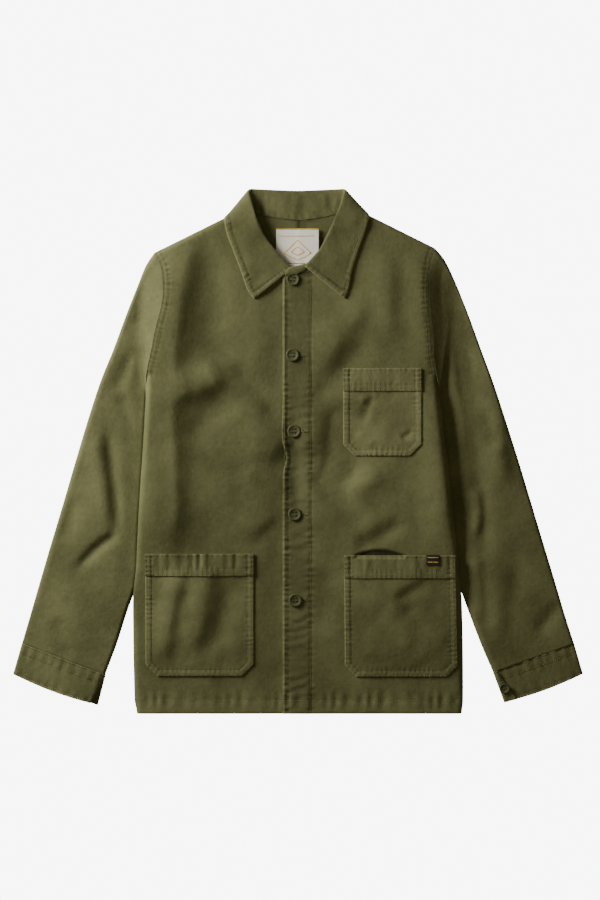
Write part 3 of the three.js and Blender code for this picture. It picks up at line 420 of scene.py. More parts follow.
# The large folds, each from start by way of a bend to its end, with its rise and its reach to either side
frontFolds = [
    fold((-152, 350), (-184, 230), (-208, 50), 8, 23, 58),  # ridge by the right armhole
    fold((-209, 160), (-200, 10), (-190, -192), 10, 27, 40),  # over the tucked right sleeve
    fold((-112, 300), (-122, 200), (-136, 112), -2.4, 50, 26),  # below the right shoulder
    fold((-196, 92), (-142, 86), (-104, 116), 6.5, 24, 17),  # shelf below the right chest
    fold((-98, 92), (-138, 66), (-160, 0), -3.6, 34, 22),  # under the shelf
    fold((-82, 88), (-56, 38), (-46, -34), 2, 30, 28),  # crown of the right belly
    fold((-112, 132), (-58, 98), (-20, 32), -3.2, 15, 14),  # crease above the crown
    fold((-58, -16), (-44, -70), (-44, -140), 3, 26, 56),  # low on the right belly
    fold((-12, 80), (-2, -10), (-2, -120), -4.2, 14, 15),  # along the placket
    fold((-70, -30), (-40, -56), (-8, -84), -2, 10, 13),  # short crease at the placket
    fold((-70, -148), (-46, -120), (-21, -96), -1.2, 9, 12),  # from the right pocket's corner
    fold((-198, 370), (-204, 60), (-196, -240), 8, 80, 90),  # the right front falls to the placket
    fold((-100, 296), (-92, 220), (-100, 150), 2.5, 30, 28),  # drape from the right shoulder
    fold((-167, -160), (-194, -238), (-202, -325), 4.6, 13, 20),  # right pocket, outer ridge
    fold((-134, -148), (-138, -238), (-164, -314), 5.5, 19, 26),  # right pocket, inner ridge
    fold((-98, -182), (-103, -245), (-133, -308), -2.5, 18, 15),  # right pocket, inner hollow
    fold((114, 230), (64, 183), (24, 110), 4, 18, 28),  # ridge across the left chest
    fold((117, 172), (63, 128), (22, 52), -3, 20, 18),  # hollow across the left chest
    fold((72, 84), (50, 12), (62, -62), -9, 52, 22),  # dent beside the chest pocket
    fold((76, -10), (52, -34), (18, -62), -5.5, 34, 15),  # dent running back to the placket
    fold((-38, 4), (0, -14), (46, -20), -4, 15, 30),  # dip across the placket
    fold((133, 304), (137, 227), (134, 150), 3, 16, 25),  # drape from the left shoulder
    fold((180, 304), (190, 200), (199, 96), 5, 16, 20),  # by the left armhole
    fold((196, 130), (210, 2), (228, -172), 8, 16, 26),  # over the tucked left sleeve
    fold((58, -40), (74, -78), (106, -124), -2.8, 15, 20),  # left belly, inner hollow
    fold((172, -30), (138, -68), (104, -98), -1.3, 18, 18),  # left belly, outer hollow
    fold((163, -100), (130, -131), (78, -148), -3.5, 12, 14),  # above the left pocket
    fold((126, -24), (100, -46), (74, -82), 2.5, 18, 18),  # ridge on the left belly
    fold((196, -184), (162, -194), (134, -226), 1.8, 10, 14),  # left pocket, short ridge
    fold((200, -200), (170, -206), (142, -228), -1.6, 11, 10),  # left pocket, hollow under it
    fold((158, -220), (181, -256), (197, -302), -1.6, 16, 16),  # left pocket, outer hollow
    fold((110, -182), (146, -245), (186, -324), 2.2, 24, 20),  # left pocket, long ridge
    fold((49, -160), (37, -223), (43, -287), -2.2, 18, 18),  # beside the left pocket
    fold((222, 302), (232, 190), (250, 20), -12, 22, 16),  # beside the left armhole
]
sleeveFolds = [
    fold((-226, 276), (-230, 220), (-240, 168), -3.5, 12, 12),  # right sleeve, by the armhole
    fold((-246, 156), (-256, 118), (-274, 86), -3.2, 11, 12),  # at the elbow
    fold((-268, 96), (-246, 50), (-240, -10), -1.8, 13, 13),  # elbow hollow
    fold((-297, 44), (-291, -28), (-278, -122), 4, 11, 20),  # long ridge
    fold((-291, 46), (-278, -40), (-266, -146), -4.6, 12, 11),  # long hollow
    fold((-266, -126), (-296, -132), (-336, -186), -4.6, 9, 8),  # sharp crease
    fold((-328, -64), (-340, -103), (-352, -144), -2.2, 14, 14),  # lower hollow
    fold((-364, -244), (-352, -283), (-342, -318), -2.2, 12, 12),  # at the cuff
    fold((284, 190), (296, 77), (304, -40), 2.2, 20, 16),  # left sleeve, long ridge
    fold((226, 304), (244, 170), (266, 20), -7, 23, 22),  # beside the left armhole
    fold((256, 64), (270, -60), (280, -196), -5.5, 18, 26),  # beside the body
    fold((263, -50), (279, -90), (264, -136), 4.2, 8, 10),  # elbow crease
    fold((244, 156), (250, 132), (256, 108), -2, 10, 10),  # upper arm hollow
    fold((283, 70), (290, 34), (298, -2), -2.4, 11, 11),  # outer hollow at the elbow
    fold((294, 100), (303, 17), (312, -62), 2.5, 12, 14),  # outer ridge
    fold((334, -160), (321, -223), (316, -300), -2.2, 15, 15),  # lower hollow
    fold((396, -222), (378, -250), (354, -280), -2.4, 12, 12),  # outer hollow
    fold((278, -160), (278, -216), (286, -290), -3.2, 14, 16),  # inner hollow
]


def sideX(side, y):
    return readTable(sideRows, "y", side, np.minimum(y, armpitY))


# Folds add up, so their sum is eased to stay between a floor and a ceiling
settled = {"floor": 7, "ceiling": 28.2, "sharpness": 1.2}


def settle(height):
    floor, ceiling, sharpness = settled.values()
    raised = floor + np.log1p(np.exp(sharpness * (height - floor))) / sharpness
    return ceiling - np.log1p(np.exp(sharpness * (ceiling - raised))) / sharpness


def upperHeight(x, y):
    return settle(readTable(loftRows, "y", "loft", y) + liftOf(frontFolds, x, y))


sleeveRows = {
    "left": [
        {"at": 0, "outerX": -214, "outerY": 296.5, "innerX": -226, "innerY": 113, "foldZ": 8, "loft": 13},
        {"at": 1, "outerX": -227, "outerY": 277, "innerX": -226.4, "innerY": 101, "foldZ": 5.2, "loft": 13},
        {"at": 2, "outerX": -239, "outerY": 248, "innerX": -225.6, "innerY": 86, "foldZ": 2.6, "loft": 13},
        {"at": 3, "outerX": -256, "outerY": 205, "innerX": -221, "innerY": 60, "foldZ": 1.8, "loft": 12.5},
        {"at": 4, "outerX": -276, "outerY": 151, "innerX": -206, "innerY": 20, "foldZ": 1.8, "loft": 12.5},
        {"at": 5, "outerX": -295, "outerY": 104, "innerX": -198, "innerY": -26, "foldZ": 1.8, "loft": 12.5},
        {"at": 6, "outerX": -314, "outerY": 46, "innerX": -200, "innerY": -76, "foldZ": 1.8, "loft": 12.5},
        {"at": 7, "outerX": -332, "outerY": -14, "innerX": -208, "innerY": -125, "foldZ": 1.8,
         "loft": 12.5},
        {"at": 8, "outerX": -349.5, "outerY": -74, "innerX": -223, "innerY": -168, "foldZ": 1.8,
         "loft": 12},
        {"at": 9, "outerX": -367.5, "outerY": -134, "innerX": -240, "innerY": -200, "foldZ": 2.2,
         "loft": 11.5},
        {"at": 10, "outerX": -384, "outerY": -190, "innerX": -255, "innerY": -238, "foldZ": 3.2,
         "loft": 11},
        {"at": 11, "outerX": -399, "outerY": -242, "innerX": -271, "innerY": -288, "foldZ": 3.4,
         "loft": 10},
        {"at": 12, "outerX": -412.5, "outerY": -288, "innerX": -288.5, "innerY": -334.5, "foldZ": 3.4,
         "loft": 8.5},
    ],
    "right": [
        {"at": 0, "outerX": 206, "outerY": 306, "innerX": 209, "innerY": 113, "foldZ": 8, "loft": 12},
        {"at": 1, "outerX": 220.5, "outerY": 287.5, "innerX": 209.8, "innerY": 101, "foldZ": 5.2,
         "loft": 11.5},
        {"at": 2, "outerX": 235.5, "outerY": 255, "innerX": 211, "innerY": 86, "foldZ": 2.6, "loft": 11},
        {"at": 3, "outerX": 256, "outerY": 204, "innerX": 208.5, "innerY": 60, "foldZ": 1.8, "loft": 10.5},
        {"at": 4, "outerX": 276, "outerY": 149, "innerX": 198, "innerY": 20, "foldZ": 1.8, "loft": 10.5},
        {"at": 5, "outerX": 294, "outerY": 100, "innerX": 191, "innerY": -26, "foldZ": 1.8, "loft": 10.5},
        {"at": 6, "outerX": 313, "outerY": 42, "innerX": 194, "innerY": -76, "foldZ": 1.8, "loft": 10.5},
        {"at": 7, "outerX": 331.5, "outerY": -16, "innerX": 204, "innerY": -125, "foldZ": 1.8,
         "loft": 10.5},
        {"at": 8, "outerX": 349, "outerY": -74, "innerX": 221, "innerY": -168, "foldZ": 1.8, "loft": 10.5},
        {"at": 9, "outerX": 367, "outerY": -134, "innerX": 241, "innerY": -200, "foldZ": 2.2, "loft": 10.5},
        {"at": 10, "outerX": 384, "outerY": -190, "innerX": 256, "innerY": -238, "foldZ": 3.2, "loft": 10},
        {"at": 11, "outerX": 400, "outerY": -244, "innerX": 275, "innerY": -288, "foldZ": 3.4, "loft": 9.5},
        {"at": 12, "outerX": 414, "outerY": -288, "innerX": 293.5, "innerY": -331, "foldZ": 3.4,
         "loft": 8.5},
    ],
}


tuckLift = {"left": 8.8, "right": 4.4}


def lowerHeight(side, x, y):
    rows = sleeveRows[side]
    inFromSide = np.abs(sideX(side, y)) - np.abs(x)
    tuckY = np.clip(y, rows[10]["innerY"], rows[3]["innerY"])
    reach = np.maximum(0, np.abs(sideX(side, tuckY))
                       - np.abs(readTable(rows[2:11], "innerY", "innerX", tuckY)))
    beside = ease(-266, -216, y) * (1 - ease(150, 250, y))
    tuck = tuckLift[side] * beside * (1 - ease(reach + 14, reach + 62, inFromSide))
    return backMid + tuck + 2.6 * ease(230, 333, y)


def foldHeight(side, x, y):
    return lowerHeight(side, x, y) + 3


# Places along a width with a rounded fold at each end that has a curl: the place and its two roundings
def spread(width, steps, curlStart, curlEnd, power=1.0, turns=5):
    angles = np.linspace(0, math.pi / 2, turns + 1)[:-1]
    dip, rise, flat = 1 - np.cos(angles), np.sin(angles), np.ones(turns)
    middle = curlStart + (width - curlStart - curlEnd) * np.linspace(0, 1, steps + 1) ** power
    parts = [np.stack([middle, np.ones(steps + 1), np.ones(steps + 1)], axis=1)]
    if curlStart:
        parts.insert(0, np.stack([curlStart * dip, rise, flat], axis=1))
    if curlEnd:
        parts.append(np.stack([width - curlEnd * dip, flat, rise], axis=1)[::-1])
    return np.concatenate(parts)


# A panel's grid from straight runs between its outer edge (side fold, then armhole) and its inner edge
def panelGrid(side, foot, neckRows, settings, heightAt):
    bodySteps, armSteps, columns, curl = (settings[k] for k in ("bodySteps", "armSteps", "columns", "curl"))
    armhole, neck = curve(armholes[side]), curve(neckRows)
    armLength, neckLength = lengths(armhole)[-1], lengths(neck)[-1]
    levelY = armpitY - 10
    share = np.linspace(0, 1, bodySteps + 1)[:-1]
    bodyY = mix(hemY, armpitY, share)
    outer = [np.stack([sideX(side, bodyY), bodyY], axis=1)]
    inner = [np.stack([np.full(bodySteps, foot), mix(hemY, levelY, share)], axis=1)]
    places = spread(armLength, armSteps, curl, curl)
    count, lastFlat = len(places), len(places) - 6
    corner = 5 + int(armSteps * settings["cornerShare"])
    outer.append(along(armhole, places[:, 0] / armLength))
    ends = []
    for i in range(count):
        if i <= corner:
            ends.append([foot, mix(levelY, neck[0][1], i / corner)])
        else:
            left = armLength - places[i, 0] if i >= lastFlat else mix(neckLength, curl,
                (i - corner) / (lastFlat - corner))
            ends.append(along(neck, [1 - left / neckLength])[0])
    inner.append(np.array(ends))
    outer, inner = np.concatenate(outer), np.concatenate(inner)
    armpit = np.concatenate([np.zeros(bodySteps), places[:, 1]])
    shoulder = np.concatenate([np.ones(bodySteps), places[:, 2]])
    grid = []
    for a, b, low, top in zip(outer, inner, armpit, shoulder):
        width = np.linalg.norm(b - a)
        run = spread(width, columns, curl, 0, settings.get("power", 1.0))
        xy = a + (b - a) * (run[:, :1] / width)
        grid.append(np.column_stack([xy, (1 - (1 - low) * (1 - run[:, 1])) * top]))
    grid = np.array(grid)
    x, y = grid[..., 0], grid[..., 1]
    grid[..., 2] = mix(foldHeight(side, x, y), heightAt(x, y), grid[..., 2])
    return grid


# Fronts
frontSet = {"bodySteps": 236, "armSteps": 80, "columns": 100, "curl": 8, "cornerShare": 0.375}
fronts = {}


# The left pocket's mouth stands a little open: the front dips in a crescent above its band, darkened with painted
# shadow
def mouthOf(x, y):
    arc = -156.8 + 9 * np.maximum(0, 1 - ((x - 123) / 38) ** 2)
    return (1 - ease(arc - 2, arc + 1.5, y)) * ease(-162, -158, y) * (arc > -156.7)


for side, wearer in (("left", "right"), ("right", "left")):
    armhole = curve(armholes[side])
    turnIn = -1 if side == "left" else 1
    foot = underlapEdgeX if side == "left" else overlapEdgeX
    edgeY = np.linspace(hemY, 262, 40)
    hemRow = np.stack([np.linspace(-260, 260, 30), np.full(30, hemY + 20)], axis=1)
    placketRow = np.stack([np.full(40, 19.5), edgeY], axis=1)
    edgeRow = np.stack([np.full(40, overlapEdgeX + 3.0), edgeY], axis=1)
    seams = [
        {"line": hemRow, "reach": 11, "pucker": 0.8, "period": 18, "dent": 0.4, "seed": 1.0, "wearAndPaintedLight": 0.12,
         "dark": 0.28},
        {"line": inset(armhole, turnIn * 1.2), "reach": 3, "pucker": 0.25, "period": 7.5, "dent": 0.5,
         "seed": 2.0, "wearAndPaintedLight": 0.15, "dark": 0.3},
        {"line": inset(armhole, turnIn * 8.2), "reach": 5, "pucker": 0.4, "period": 7.5, "dent": 0.5,
         "seed": 3.0, "wearAndPaintedLight": 0.28, "dark": 0.35},
    ]
    if side == "right":
        seams.append({"line": placketRow, "reach": 7, "pucker": 0.35, "period": 10, "dent": 0.35,
                      "seed": 4.0, "wearAndPaintedLight": 0.15, "dark": 0.2})
        seams.append({"line": edgeRow, "reach": 4, "pucker": 0.4, "period": 7.5, "dent": 0.4, "seed": 5.0,
                      "wearAndPaintedLight": 0.25, "dark": 0.35})
        seams.append({"line": edgeRow + (4.2, 0), "reach": 6, "pucker": 0.45, "period": 9, "dent": 0.4,
                      "seed": 6.0, "wearAndPaintedLight": 0.2, "dark": 0.3})

    def frontHeight(x, y, side=side, seams=seams):
        sink = underlapDrop * ease(-64, -26, x) if side == "left" else 0
        z = upperHeight(x, y) - sink
        calm = ease(0, 30, np.abs(sideX(side, y)) - np.abs(x))
        z = z + calm * (0.9 * noiseAt(x, y, 58, 1.3) + 0.45 * noiseAt(x, y, 24, 5.1))
        rise, tone = sewn(x, y, seams)
        hem, hemTone = turned(y - hemY, 20, 0.5, 0.1)
        z, tone = z + hem + rise, tone + hemTone
        # painted shadow in the crescent above the left pocket's open mouth
        mouth = mouthOf(x, y) if side == "right" else 0
        z, tone = z - 3 * mouth, tone - 0.85 * mouth
        if side == "right":
            edge, edgeTone = turned(np.maximum(x - overlapEdgeX, 0), 41.5, 0.7, 0.0)
            uneven = noiseAt(0 * x, y, 26, 3.3)
            # painted shade over the placket between its stitch rows
            tone = tone - 0.26 * (1 - ease(17, 20, x)) * ease(-20, -17, x)
            # painted highlight along the overlap's rim, partly wear
            z, tone = z + edge, tone + edgeTone * 0.4 + (0.3
                                                         + 0.5 * uneven) * np.exp(-(((x - overlapEdgeX
                                                             - 0.8) / 1.4) ** 2))
            # a thin painted highlight line beside the placket's stitch row
            z, tone = z + 0.5 * np.exp(-(((x - overlapEdgeX - 2) / 2) ** 2)), tone + 0.22 * np.exp(-(((x
                - 21.6) / 1.0) ** 2))
            z = z + (0.15 + 0.6 * uneven) * np.sin(y / 3.2 + 9 * noiseAt(x, y, 60, 9.4)) * (1 - ease(14,
                19, x)) * ease(-20, -14, x)
        return z, tone

    grid = panelGrid(side, foot, frontNecks[side], frontSet, lambda x, y: frontHeight(x, y)[0])
    way = 1 if side == "left" else -1
    tone = frontHeight(grid[..., 0], grid[..., 1])[1]
    if side == "right":
        shift = 5 * np.exp(-(((grid[..., 1] + 10) / 16) ** 2)) - 1.5 * np.exp(-(((grid[..., 1]
            - 30) / 22) ** 2))
        grid[..., 0] += shift * (1 - ease(-22, 8, grid[..., 0]))
    piece = sheetObject(f"front_{wearer}_cloth", grid[:, ::way], clothThick, cloth, tone=tone[:, ::way])
    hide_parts(f"front_{wearer}")
    fronts[side] = {"grid": grid, "piece": piece, "height": frontHeight}
frontTrees = {side: treeOf(fronts[side]["piece"]) for side in fronts}
print("stage: fronts")

# Backs
backSet = {"bodySteps": 120, "armSteps": 24, "columns": 40, "curl": 4, "cornerShare": 0.875, "power": 1.5}
backs = {}
for side, wearer in (("left", "right"), ("right", "left")):
    neckX, neckY = frontNecks[side][-1]
    backNeck = [(backSeamX, 346), (mix(backSeamX, neckX, 0.5), 350), (neckX, neckY)]

    def backHeight(x, y, side=side):
        fell = 0.6 * np.exp(-(((x - backSeamX - 3.5) / 3.2) ** 4))
        rows = np.exp(-(((x - backSeamX - 0.4) / 1.0) ** 2)) + 0.7 * np.exp(-(((x - backSeamX
            - 7) / 1.0) ** 2))
        return lowerHeight(side, x, y) + fell - 0.4 * rows + 0.35 * noiseAt(x, y, 30, 2.2) * ease(200,
            230, y)

    grid = panelGrid(side, backSeamX, backNeck, backSet, backHeight)
    grid[..., 2] = np.maximum(grid[..., 2], backMid)
    x, y = grid[..., 0], grid[..., 1]
    # painted shade along the back seam's stitch rows and under the neck seam, with a painted highlight on the
    # raised fell
    tone = -0.7 * np.exp(-(((x - backSeamX - 0.4) / 1.0) ** 2)) - 0.35 * np.exp(-(((x - backSeamX
        - 7) / 1.0) ** 2))
    neckDepth = nearest(x, y, curve(backNeck))[0]
    tone = tone - 0.6 * np.exp(-(((neckDepth - 1.2) / 1.2) ** 2)) + 0.15 * np.exp(-(((x - backSeamX
        - 3.6) / 2.2) ** 2))
    way = 1 if side == "left" else -1
    piece = sheetObject(f"back_{wearer}_cloth", grid[:, ::way], clothThick, clothInside,
                        tone=tone[:, ::way])
    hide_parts(f"back_{wearer}")
    backs[side] = {"grid": grid}
print("stage: backs")

# Sleeves
sleeveSet = {"step": 3.3, "armSteps": 80, "underSteps": 24, "press": {"left": (-4, 4), "right": (-32, -7)},
             "tucked": {"left": 7.8, "right": 3.0}, "curls": {"left": (8, 4.5), "right": (4.5, 8)}}


def sleeveRing(side, at, front, back):
    rows = sleeveRows[side]
    read = {c: float(readTable(rows, "at", c, at)) for c in ("outerX", "outerY", "innerX", "innerY",
                                                             "foldZ", "loft")}
    outer, inner = np.array([read["outerX"], read["outerY"]]), np.array([read["innerX"], read["innerY"]])
    start = rows[0]
    startOuter, startInner = (np.array([start[k + "X"], start[k + "Y"]]) for k in ("outer", "inner"))
    width = np.linalg.norm(inner - outer)
    nearArm = 1 - ease(0, 2.5, at)
    outerZ = mix(backMid + 3.4, foldHeight(side, outer[:1], outer[1:])[0], nearArm)

    def place(run, seam, heightAt):
        share = run[:, :1] / width
        xy = outer + (inner - outer) * share
        xy = xy + (seam[:, :2] - (startOuter + (startInner - startOuter) * share)) * nearArm
        x, y = xy[:, 0], xy[:, 1]
        edge = mix(outerZ, read["foldZ"], ease(0.3, 0.7, share[:, 0]))
        points = np.column_stack([x, y, mix(edge, heightAt(x, y, share[:, 0]), run[:, 1] * run[:, 2])])
        return mix(points, seam, 1 - ease(0, 0.12, at))

    def upper(x, y, share):
        insideBody = np.abs(sideX(side, y)) - np.abs(x)
        pressed = ease(2, 3, at) * ease(*sleeveSet["press"][side], insideBody) * ease(-262, -216, y)
        own = read["loft"] + liftOf(sleeveFolds, x,
                                    y) + ((1.6 + 2.6 * ease(6, 10, at)) * (ease(0, 0.62, share)
                                        - 0.9) if side == "left" else 0.8)
        own = own + 0.9 * noiseAt(x, y, 55, 7.7, (1, 1.6)) + 0.45 * noiseAt(x, y, 24, 3.1)
        if side == "left":
            own = mix(own, np.minimum(own, 10.5),
                      ease(2, 3.5, at) * ease(-34, -8, insideBody) * ease(-262, -216, y))
        own = 5 + np.log1p(np.exp(1.4 * (own - 5))) / 1.4
        return mix(mix(own, sleeveSet["tucked"][side], pressed), upperHeight(x, y), nearArm)

    def under(x, y, share):
        return mix(backMid, lowerHeight(side, x, y), nearArm)

    over = place(spread(width, sleeveSet["armSteps"], *sleeveSet["curls"][side]), front, upper)
    below = place(spread(width, sleeveSet["underSteps"], 4, 4)[1:-1][::-1], back, under)
    return np.concatenate([over, below])


for side, wearer in (("left", "right"), ("right", "left")):
    armRows = len(spread(100, sleeveSet["armSteps"], 8, 8))
    backRows = len(spread(100, sleeveSet["underSteps"], 4, 4))
    frontSeam = fronts[side]["grid"][-armRows:, 0][::-1]
    backSeam = backs[side]["grid"][-backRows:, 0][1:-1]
    outerLine = np.array([[row["outerX"], row["outerY"]] for row in sleeveRows[side]], float)
    far = lengths(outerLine)
    ats = np.interp(np.linspace(0, far[-1], int(far[-1] / sleeveSet["step"])), far, np.arange(13))
    grid = np.array([sleeveRing(side, at, frontSeam, backSeam) for at in ats])
    piece = sheetObject(f"sleeve_{wearer}_cloth", grid, clothThick, cloth, ring=True)
    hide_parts(f"sleeve_{wearer}")
print("stage: sleeves")

# Patch pockets, their bands and the flag label
pockets = [
    {"name": "lower_right", "side": "left", "low": (-227.3, -65.3), "high": (-227.3, -65.3), "top": -154.3,
     "bottom": -337.4, "cut": 18, "bandBottom": -187, "bulge": 1.0, "seed": 21.0, "waves": 1.0},
    {"name": "lower_left", "side": "right", "low": (71, 240), "high": (69.7, 236.5), "top": -156.8,
     "bottom": -338.3, "cut": 17, "bandBottom": -190.5, "bulge": 1.4, "seed": 31.0, "waves": 0.6},
    {"name": "chest", "side": "right", "low": (68.7, 185.3), "high": (68.7, 185.3), "top": 123,
     "bottom": -7.5, "cut": 17, "bandBottom": 89.4, "bulge": 0.8, "seed": 41.0, "wearAndPaintedLight": 0.16, "waves": 0.2},
]
stitchRows = []
pocketFolds = [
    fold((114, 92), (108, 72), (96, 36), -2.2, 7, 10),  # chest pocket, long hollow
    fold((92, 70), (104, 84), (124, 84), 1.6, 7, 6),  # chest pocket, ridge under the band
    fold((154, 16), (164, 24), (176, 30), -1.8, 5, 6),  # chest pocket, short hollow
    fold((88, 30), (96, 12), (120, 6), 1.4, 8, 8),  # chest pocket, low ridge
]


def pocketEnds(pocket, y):
    up = (y - pocket["bottom"]) / (pocket["top"] - pocket["bottom"])
    cut = np.maximum(0, pocket["cut"] - (y - pocket["bottom"]))
    left = mix(pocket["low"][0], pocket["high"][0], up) + cut
    right = mix(pocket["low"][1], pocket["high"][1], up) - cut
    return left, right


def patchGrid(pocket, bottom, top, step, grow=0.0):
    ys = np.linspace(bottom, top, int((top - bottom) / step) + 1)
    left, right = pocketEnds(pocket, ys)
    share = np.linspace(0, 1, int((pocket["high"][1] - pocket["high"][0]) / step) + 1)
    x = mix(left[:, None] - grow, right[:, None] + grow, share[None, :])
    return x, np.repeat(ys[:, None], len(share), axis=1)


for pocket in pockets:
    side, seed = pocket["side"], pocket["seed"]
    top, bottom, cut = pocket["top"], pocket["bottom"], pocket["cut"]
    (lowLeft, lowRight), (highLeft, highRight) = pocket["low"], pocket["high"]
    outline = np.array([
        (highLeft, top), (lowLeft, bottom + cut), (lowLeft + cut, bottom),
        (lowRight - cut, bottom), (lowRight, bottom + cut), (highRight, top),
    ], float)
    outline = along(outline, np.linspace(0, 1, 120))
    innerRow, outerRow = inset(outline, 8.5), inset(outline, 1.6)

    def pocketHeight(x, y, side=side, pocket=pocket, outline=outline, rows=(innerRow, outerRow), seed=seed):
        base, _ = fronts[side]["height"](x, y)
        d, s = nearest(x, y, outline)
        seams = [
            {"line": rows[0], "reach": 5, "pucker": 0.2, "period": 7.2, "dent": 0.4, "seed": seed,
             "wearAndPaintedLight": 0.15, "dark": 0.26},
            {"line": rows[1], "reach": 3, "pucker": 0.25, "period": 7.2, "dent": 0.3, "seed": seed,
             "wearAndPaintedLight": 0.12, "dark": 0.22},
        ]
        rise, tone = sewn(x, y, seams)
        edge, edgeTone = turned(d, 8.5, 0.6, 0.45)
        soft = (0.6 * noiseAt(x, y, 22, seed) + liftOf(pocketFolds, x, y)) * ease(6, 20, d)
        # lighter at the rim and on pucker ridges from wear and painted highlight, darker in the stitch dents from
        # painted shade; the chest pocket is a little lighter overall
        return base + 1.6 + ease(4, 45,
                                 d) * pocket["bulge"] + soft + rise + edge, tone + edgeTone + pocket.get("wearAndPaintedLight", 0)

    x, y = patchGrid(pocket, bottom, top, 1.3)
    z, tone = pocketHeight(x, y)
    piece = sheetObject(f"pocket_{pocket['name']}_cloth", np.stack([x, y, z], axis=-1), 1.2, cloth,
                        tone=tone)
    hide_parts(f"pocket_{pocket['name']}")
    stitchRows += [innerRow, outerRow]

    bandBottom = pocket["bandBottom"]
    x, y = patchGrid(pocket, bandBottom, top + 0.4, 1.3, 0.3)
    across = np.linspace(highLeft, highRight, 60)
    rowYs = (bandBottom + 1.6, bandBottom + 10, top - 2)
    bandRows = [np.stack([across, np.full(60, height)], axis=1) for height in rowYs]
    uprights = [np.array([(edge, top), (edge, bandBottom)], float)
                for edge in (highLeft + 1.6, highLeft + 8.5, highRight - 1.6, highRight - 8.5)]
    seams = [{"line": line, "reach": 4, "pucker": 0.2, "period": 7.5, "dent": 0.3, "seed": seed + 3,
              "wearAndPaintedLight": 0.1, "dark": 0.25}
             for line in bandRows]
    seams += [{"line": line, "reach": 4, "pucker": 0.2, "period": 7.2, "dent": 0.35, "seed": seed + 5,
               "wearAndPaintedLight": 0.12, "dark": 0.2} for line in uprights]
    rise, tone = sewn(x, y, seams)
    swell = noiseAt(x, y * 0, 40, seed)
    waves = pocket["waves"] * (0.4 + 1.6 * swell) * np.sin(x / 2.7 + 9 * swell) * ease(bandBottom + 3,
        bandBottom + 18, y)
    z = pocketHeight(x, y)[0] + 1.45 + rise + 0.3 * (1 - ease(9, 11, y - bandBottom)) + waves
    # lighter along the band's lower and upper edges from wear and painted highlight
    tone = tone + pocket.get("wearAndPaintedLight",
                             0) + 0.45 * np.exp(-(((y - bandBottom
                                                    - 0.5) / 1.2) ** 2)) + 0.45 * np.exp(-(((y
                                                        - top) / 1.6) ** 2))
    piece = sheetObject(f"band_{pocket['name']}_cloth", np.stack([x, y, z], axis=-1), 1.1, cloth, tone=tone)
    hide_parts(f"band_{pocket['name']}")
    stitchRows += bandRows + uprights
    if pocket["name"] == "lower_left":
        x, y = np.meshgrid(np.linspace(192.3, 212.4, 25), np.linspace(-171.2, -155.6, 20))
        level = pocketHeight(x, y)[0] + 2.9 + 0.25 * noiseAt(x, y, 8, 2.0)
        flag = sheetObject("flag_label_cloth", np.stack([x, y, level], axis=-1), 0.7, flagCloth)
        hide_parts("flag_label")
        bars = [(194.6, 210.2, -160.2, -159.2), (194.6, 210.2, -167.0, -166.0)]
        for number, (x0, x1, y0, y1) in enumerate(bars):
            x, y = np.meshgrid(np.linspace(x0, x1, 20), np.linspace(y0, y1, 3))
            level = pocketHeight(x, y)[0] + 3.6 + 0.25 * noiseAt(x, y, 8, 2.0)
            bar = sheetObject(f"flag_label_bar_{number + 1}", np.stack([x, y, level], axis=-1), 0.25,
                              goldThread, rim=0)
print("stage: pockets")

# Collar, from the neck seam over the fold to its edge, in sections round the neck
collarRows = [
    {"at": 0, "tipL": (-9.5, 271.5), "edgeL": (-66, 226), "tipR": (11, 275), "edgeR": (70.8, 226.5),
     "tipZ": 0, "edgeZ": 0, "turn": 0},
    {"at": 0.155, "tipL": (-20, 284), "edgeL": (-75.5, 243), "tipR": (21.5, 286), "edgeR": (77.5, 247),
     "tipZ": 0, "edgeZ": 0, "turn": 0},
    {"at": 0.316, "tipL": (-34, 300), "edgeL": (-83.5, 266), "tipR": (33, 300), "edgeR": (81.5, 269),
     "tipZ": 0, "edgeZ": 0, "turn": 0},
    {"at": 0.488, "tipL": (-48, 318), "edgeL": (-95, 297), "tipR": (43, 319), "edgeR": (90, 296),
     "tipZ": 0, "edgeZ": 0, "turn": 0},
    {"at": 0.666, "tipL": (-57.5, 337), "edgeL": (-105, 323), "tipR": (53, 340), "edgeR": (99, 321),
     "tipZ": 15.5, "edgeZ": 0, "turn": 0},
    {"at": 0.824, "tipL": (-65, 357), "edgeL": (-108.5, 339.5), "tipR": (61, 359), "edgeR": (105, 341),
     "tipZ": 14.5, "edgeZ": 15, "turn": 15},
    {"at": 0.933, "tipL": (-70, 376), "edgeL": (-109, 348.3), "tipR": (67, 376), "edgeR": (107, 351),
     "tipZ": 11.5, "edgeZ": 11, "turn": 50},
    {"at": 1, "tipL": (-72.5, 388), "edgeL": (-104.5, 353.5), "tipR": (71, 388), "edgeR": (103, 358),
     "tipZ": 8, "edgeZ": 5, "turn": 90},
    {"at": 1.035, "tipL": (-70, 391), "edgeL": (-104, 353), "tipR": (69, 391), "edgeR": (100, 356.5),
     "tipZ": 5.5, "edgeZ": 1.8, "turn": 120},
    {"at": 1.07, "tipL": (-66, 391.7), "edgeL": (-98, 346), "tipR": (66, 391.7), "edgeR": (96, 348),
     "tipZ": 3.4, "edgeZ": 1.3, "turn": 150},
    {"at": 1.22, "tipL": (-52, 391), "edgeL": (-76, 340), "tipR": (52, 391), "edgeR": (76, 341),
     "tipZ": 2.4, "edgeZ": 1.15, "turn": 180},
    {"at": 1.52, "tipL": (-30, 389.8), "edgeL": (-45, 336), "tipR": (30, 389.8), "edgeR": (47, 336),
     "tipZ": 2.4, "edgeZ": 1.15, "turn": 180},
    {"at": 2, "tipL": (1, 388.7), "edgeL": (1, 335), "tipR": (1, 388.7), "edgeR": (1, 335), "tipZ": 2.4,
     "edgeZ": 1.15, "turn": 180},
]
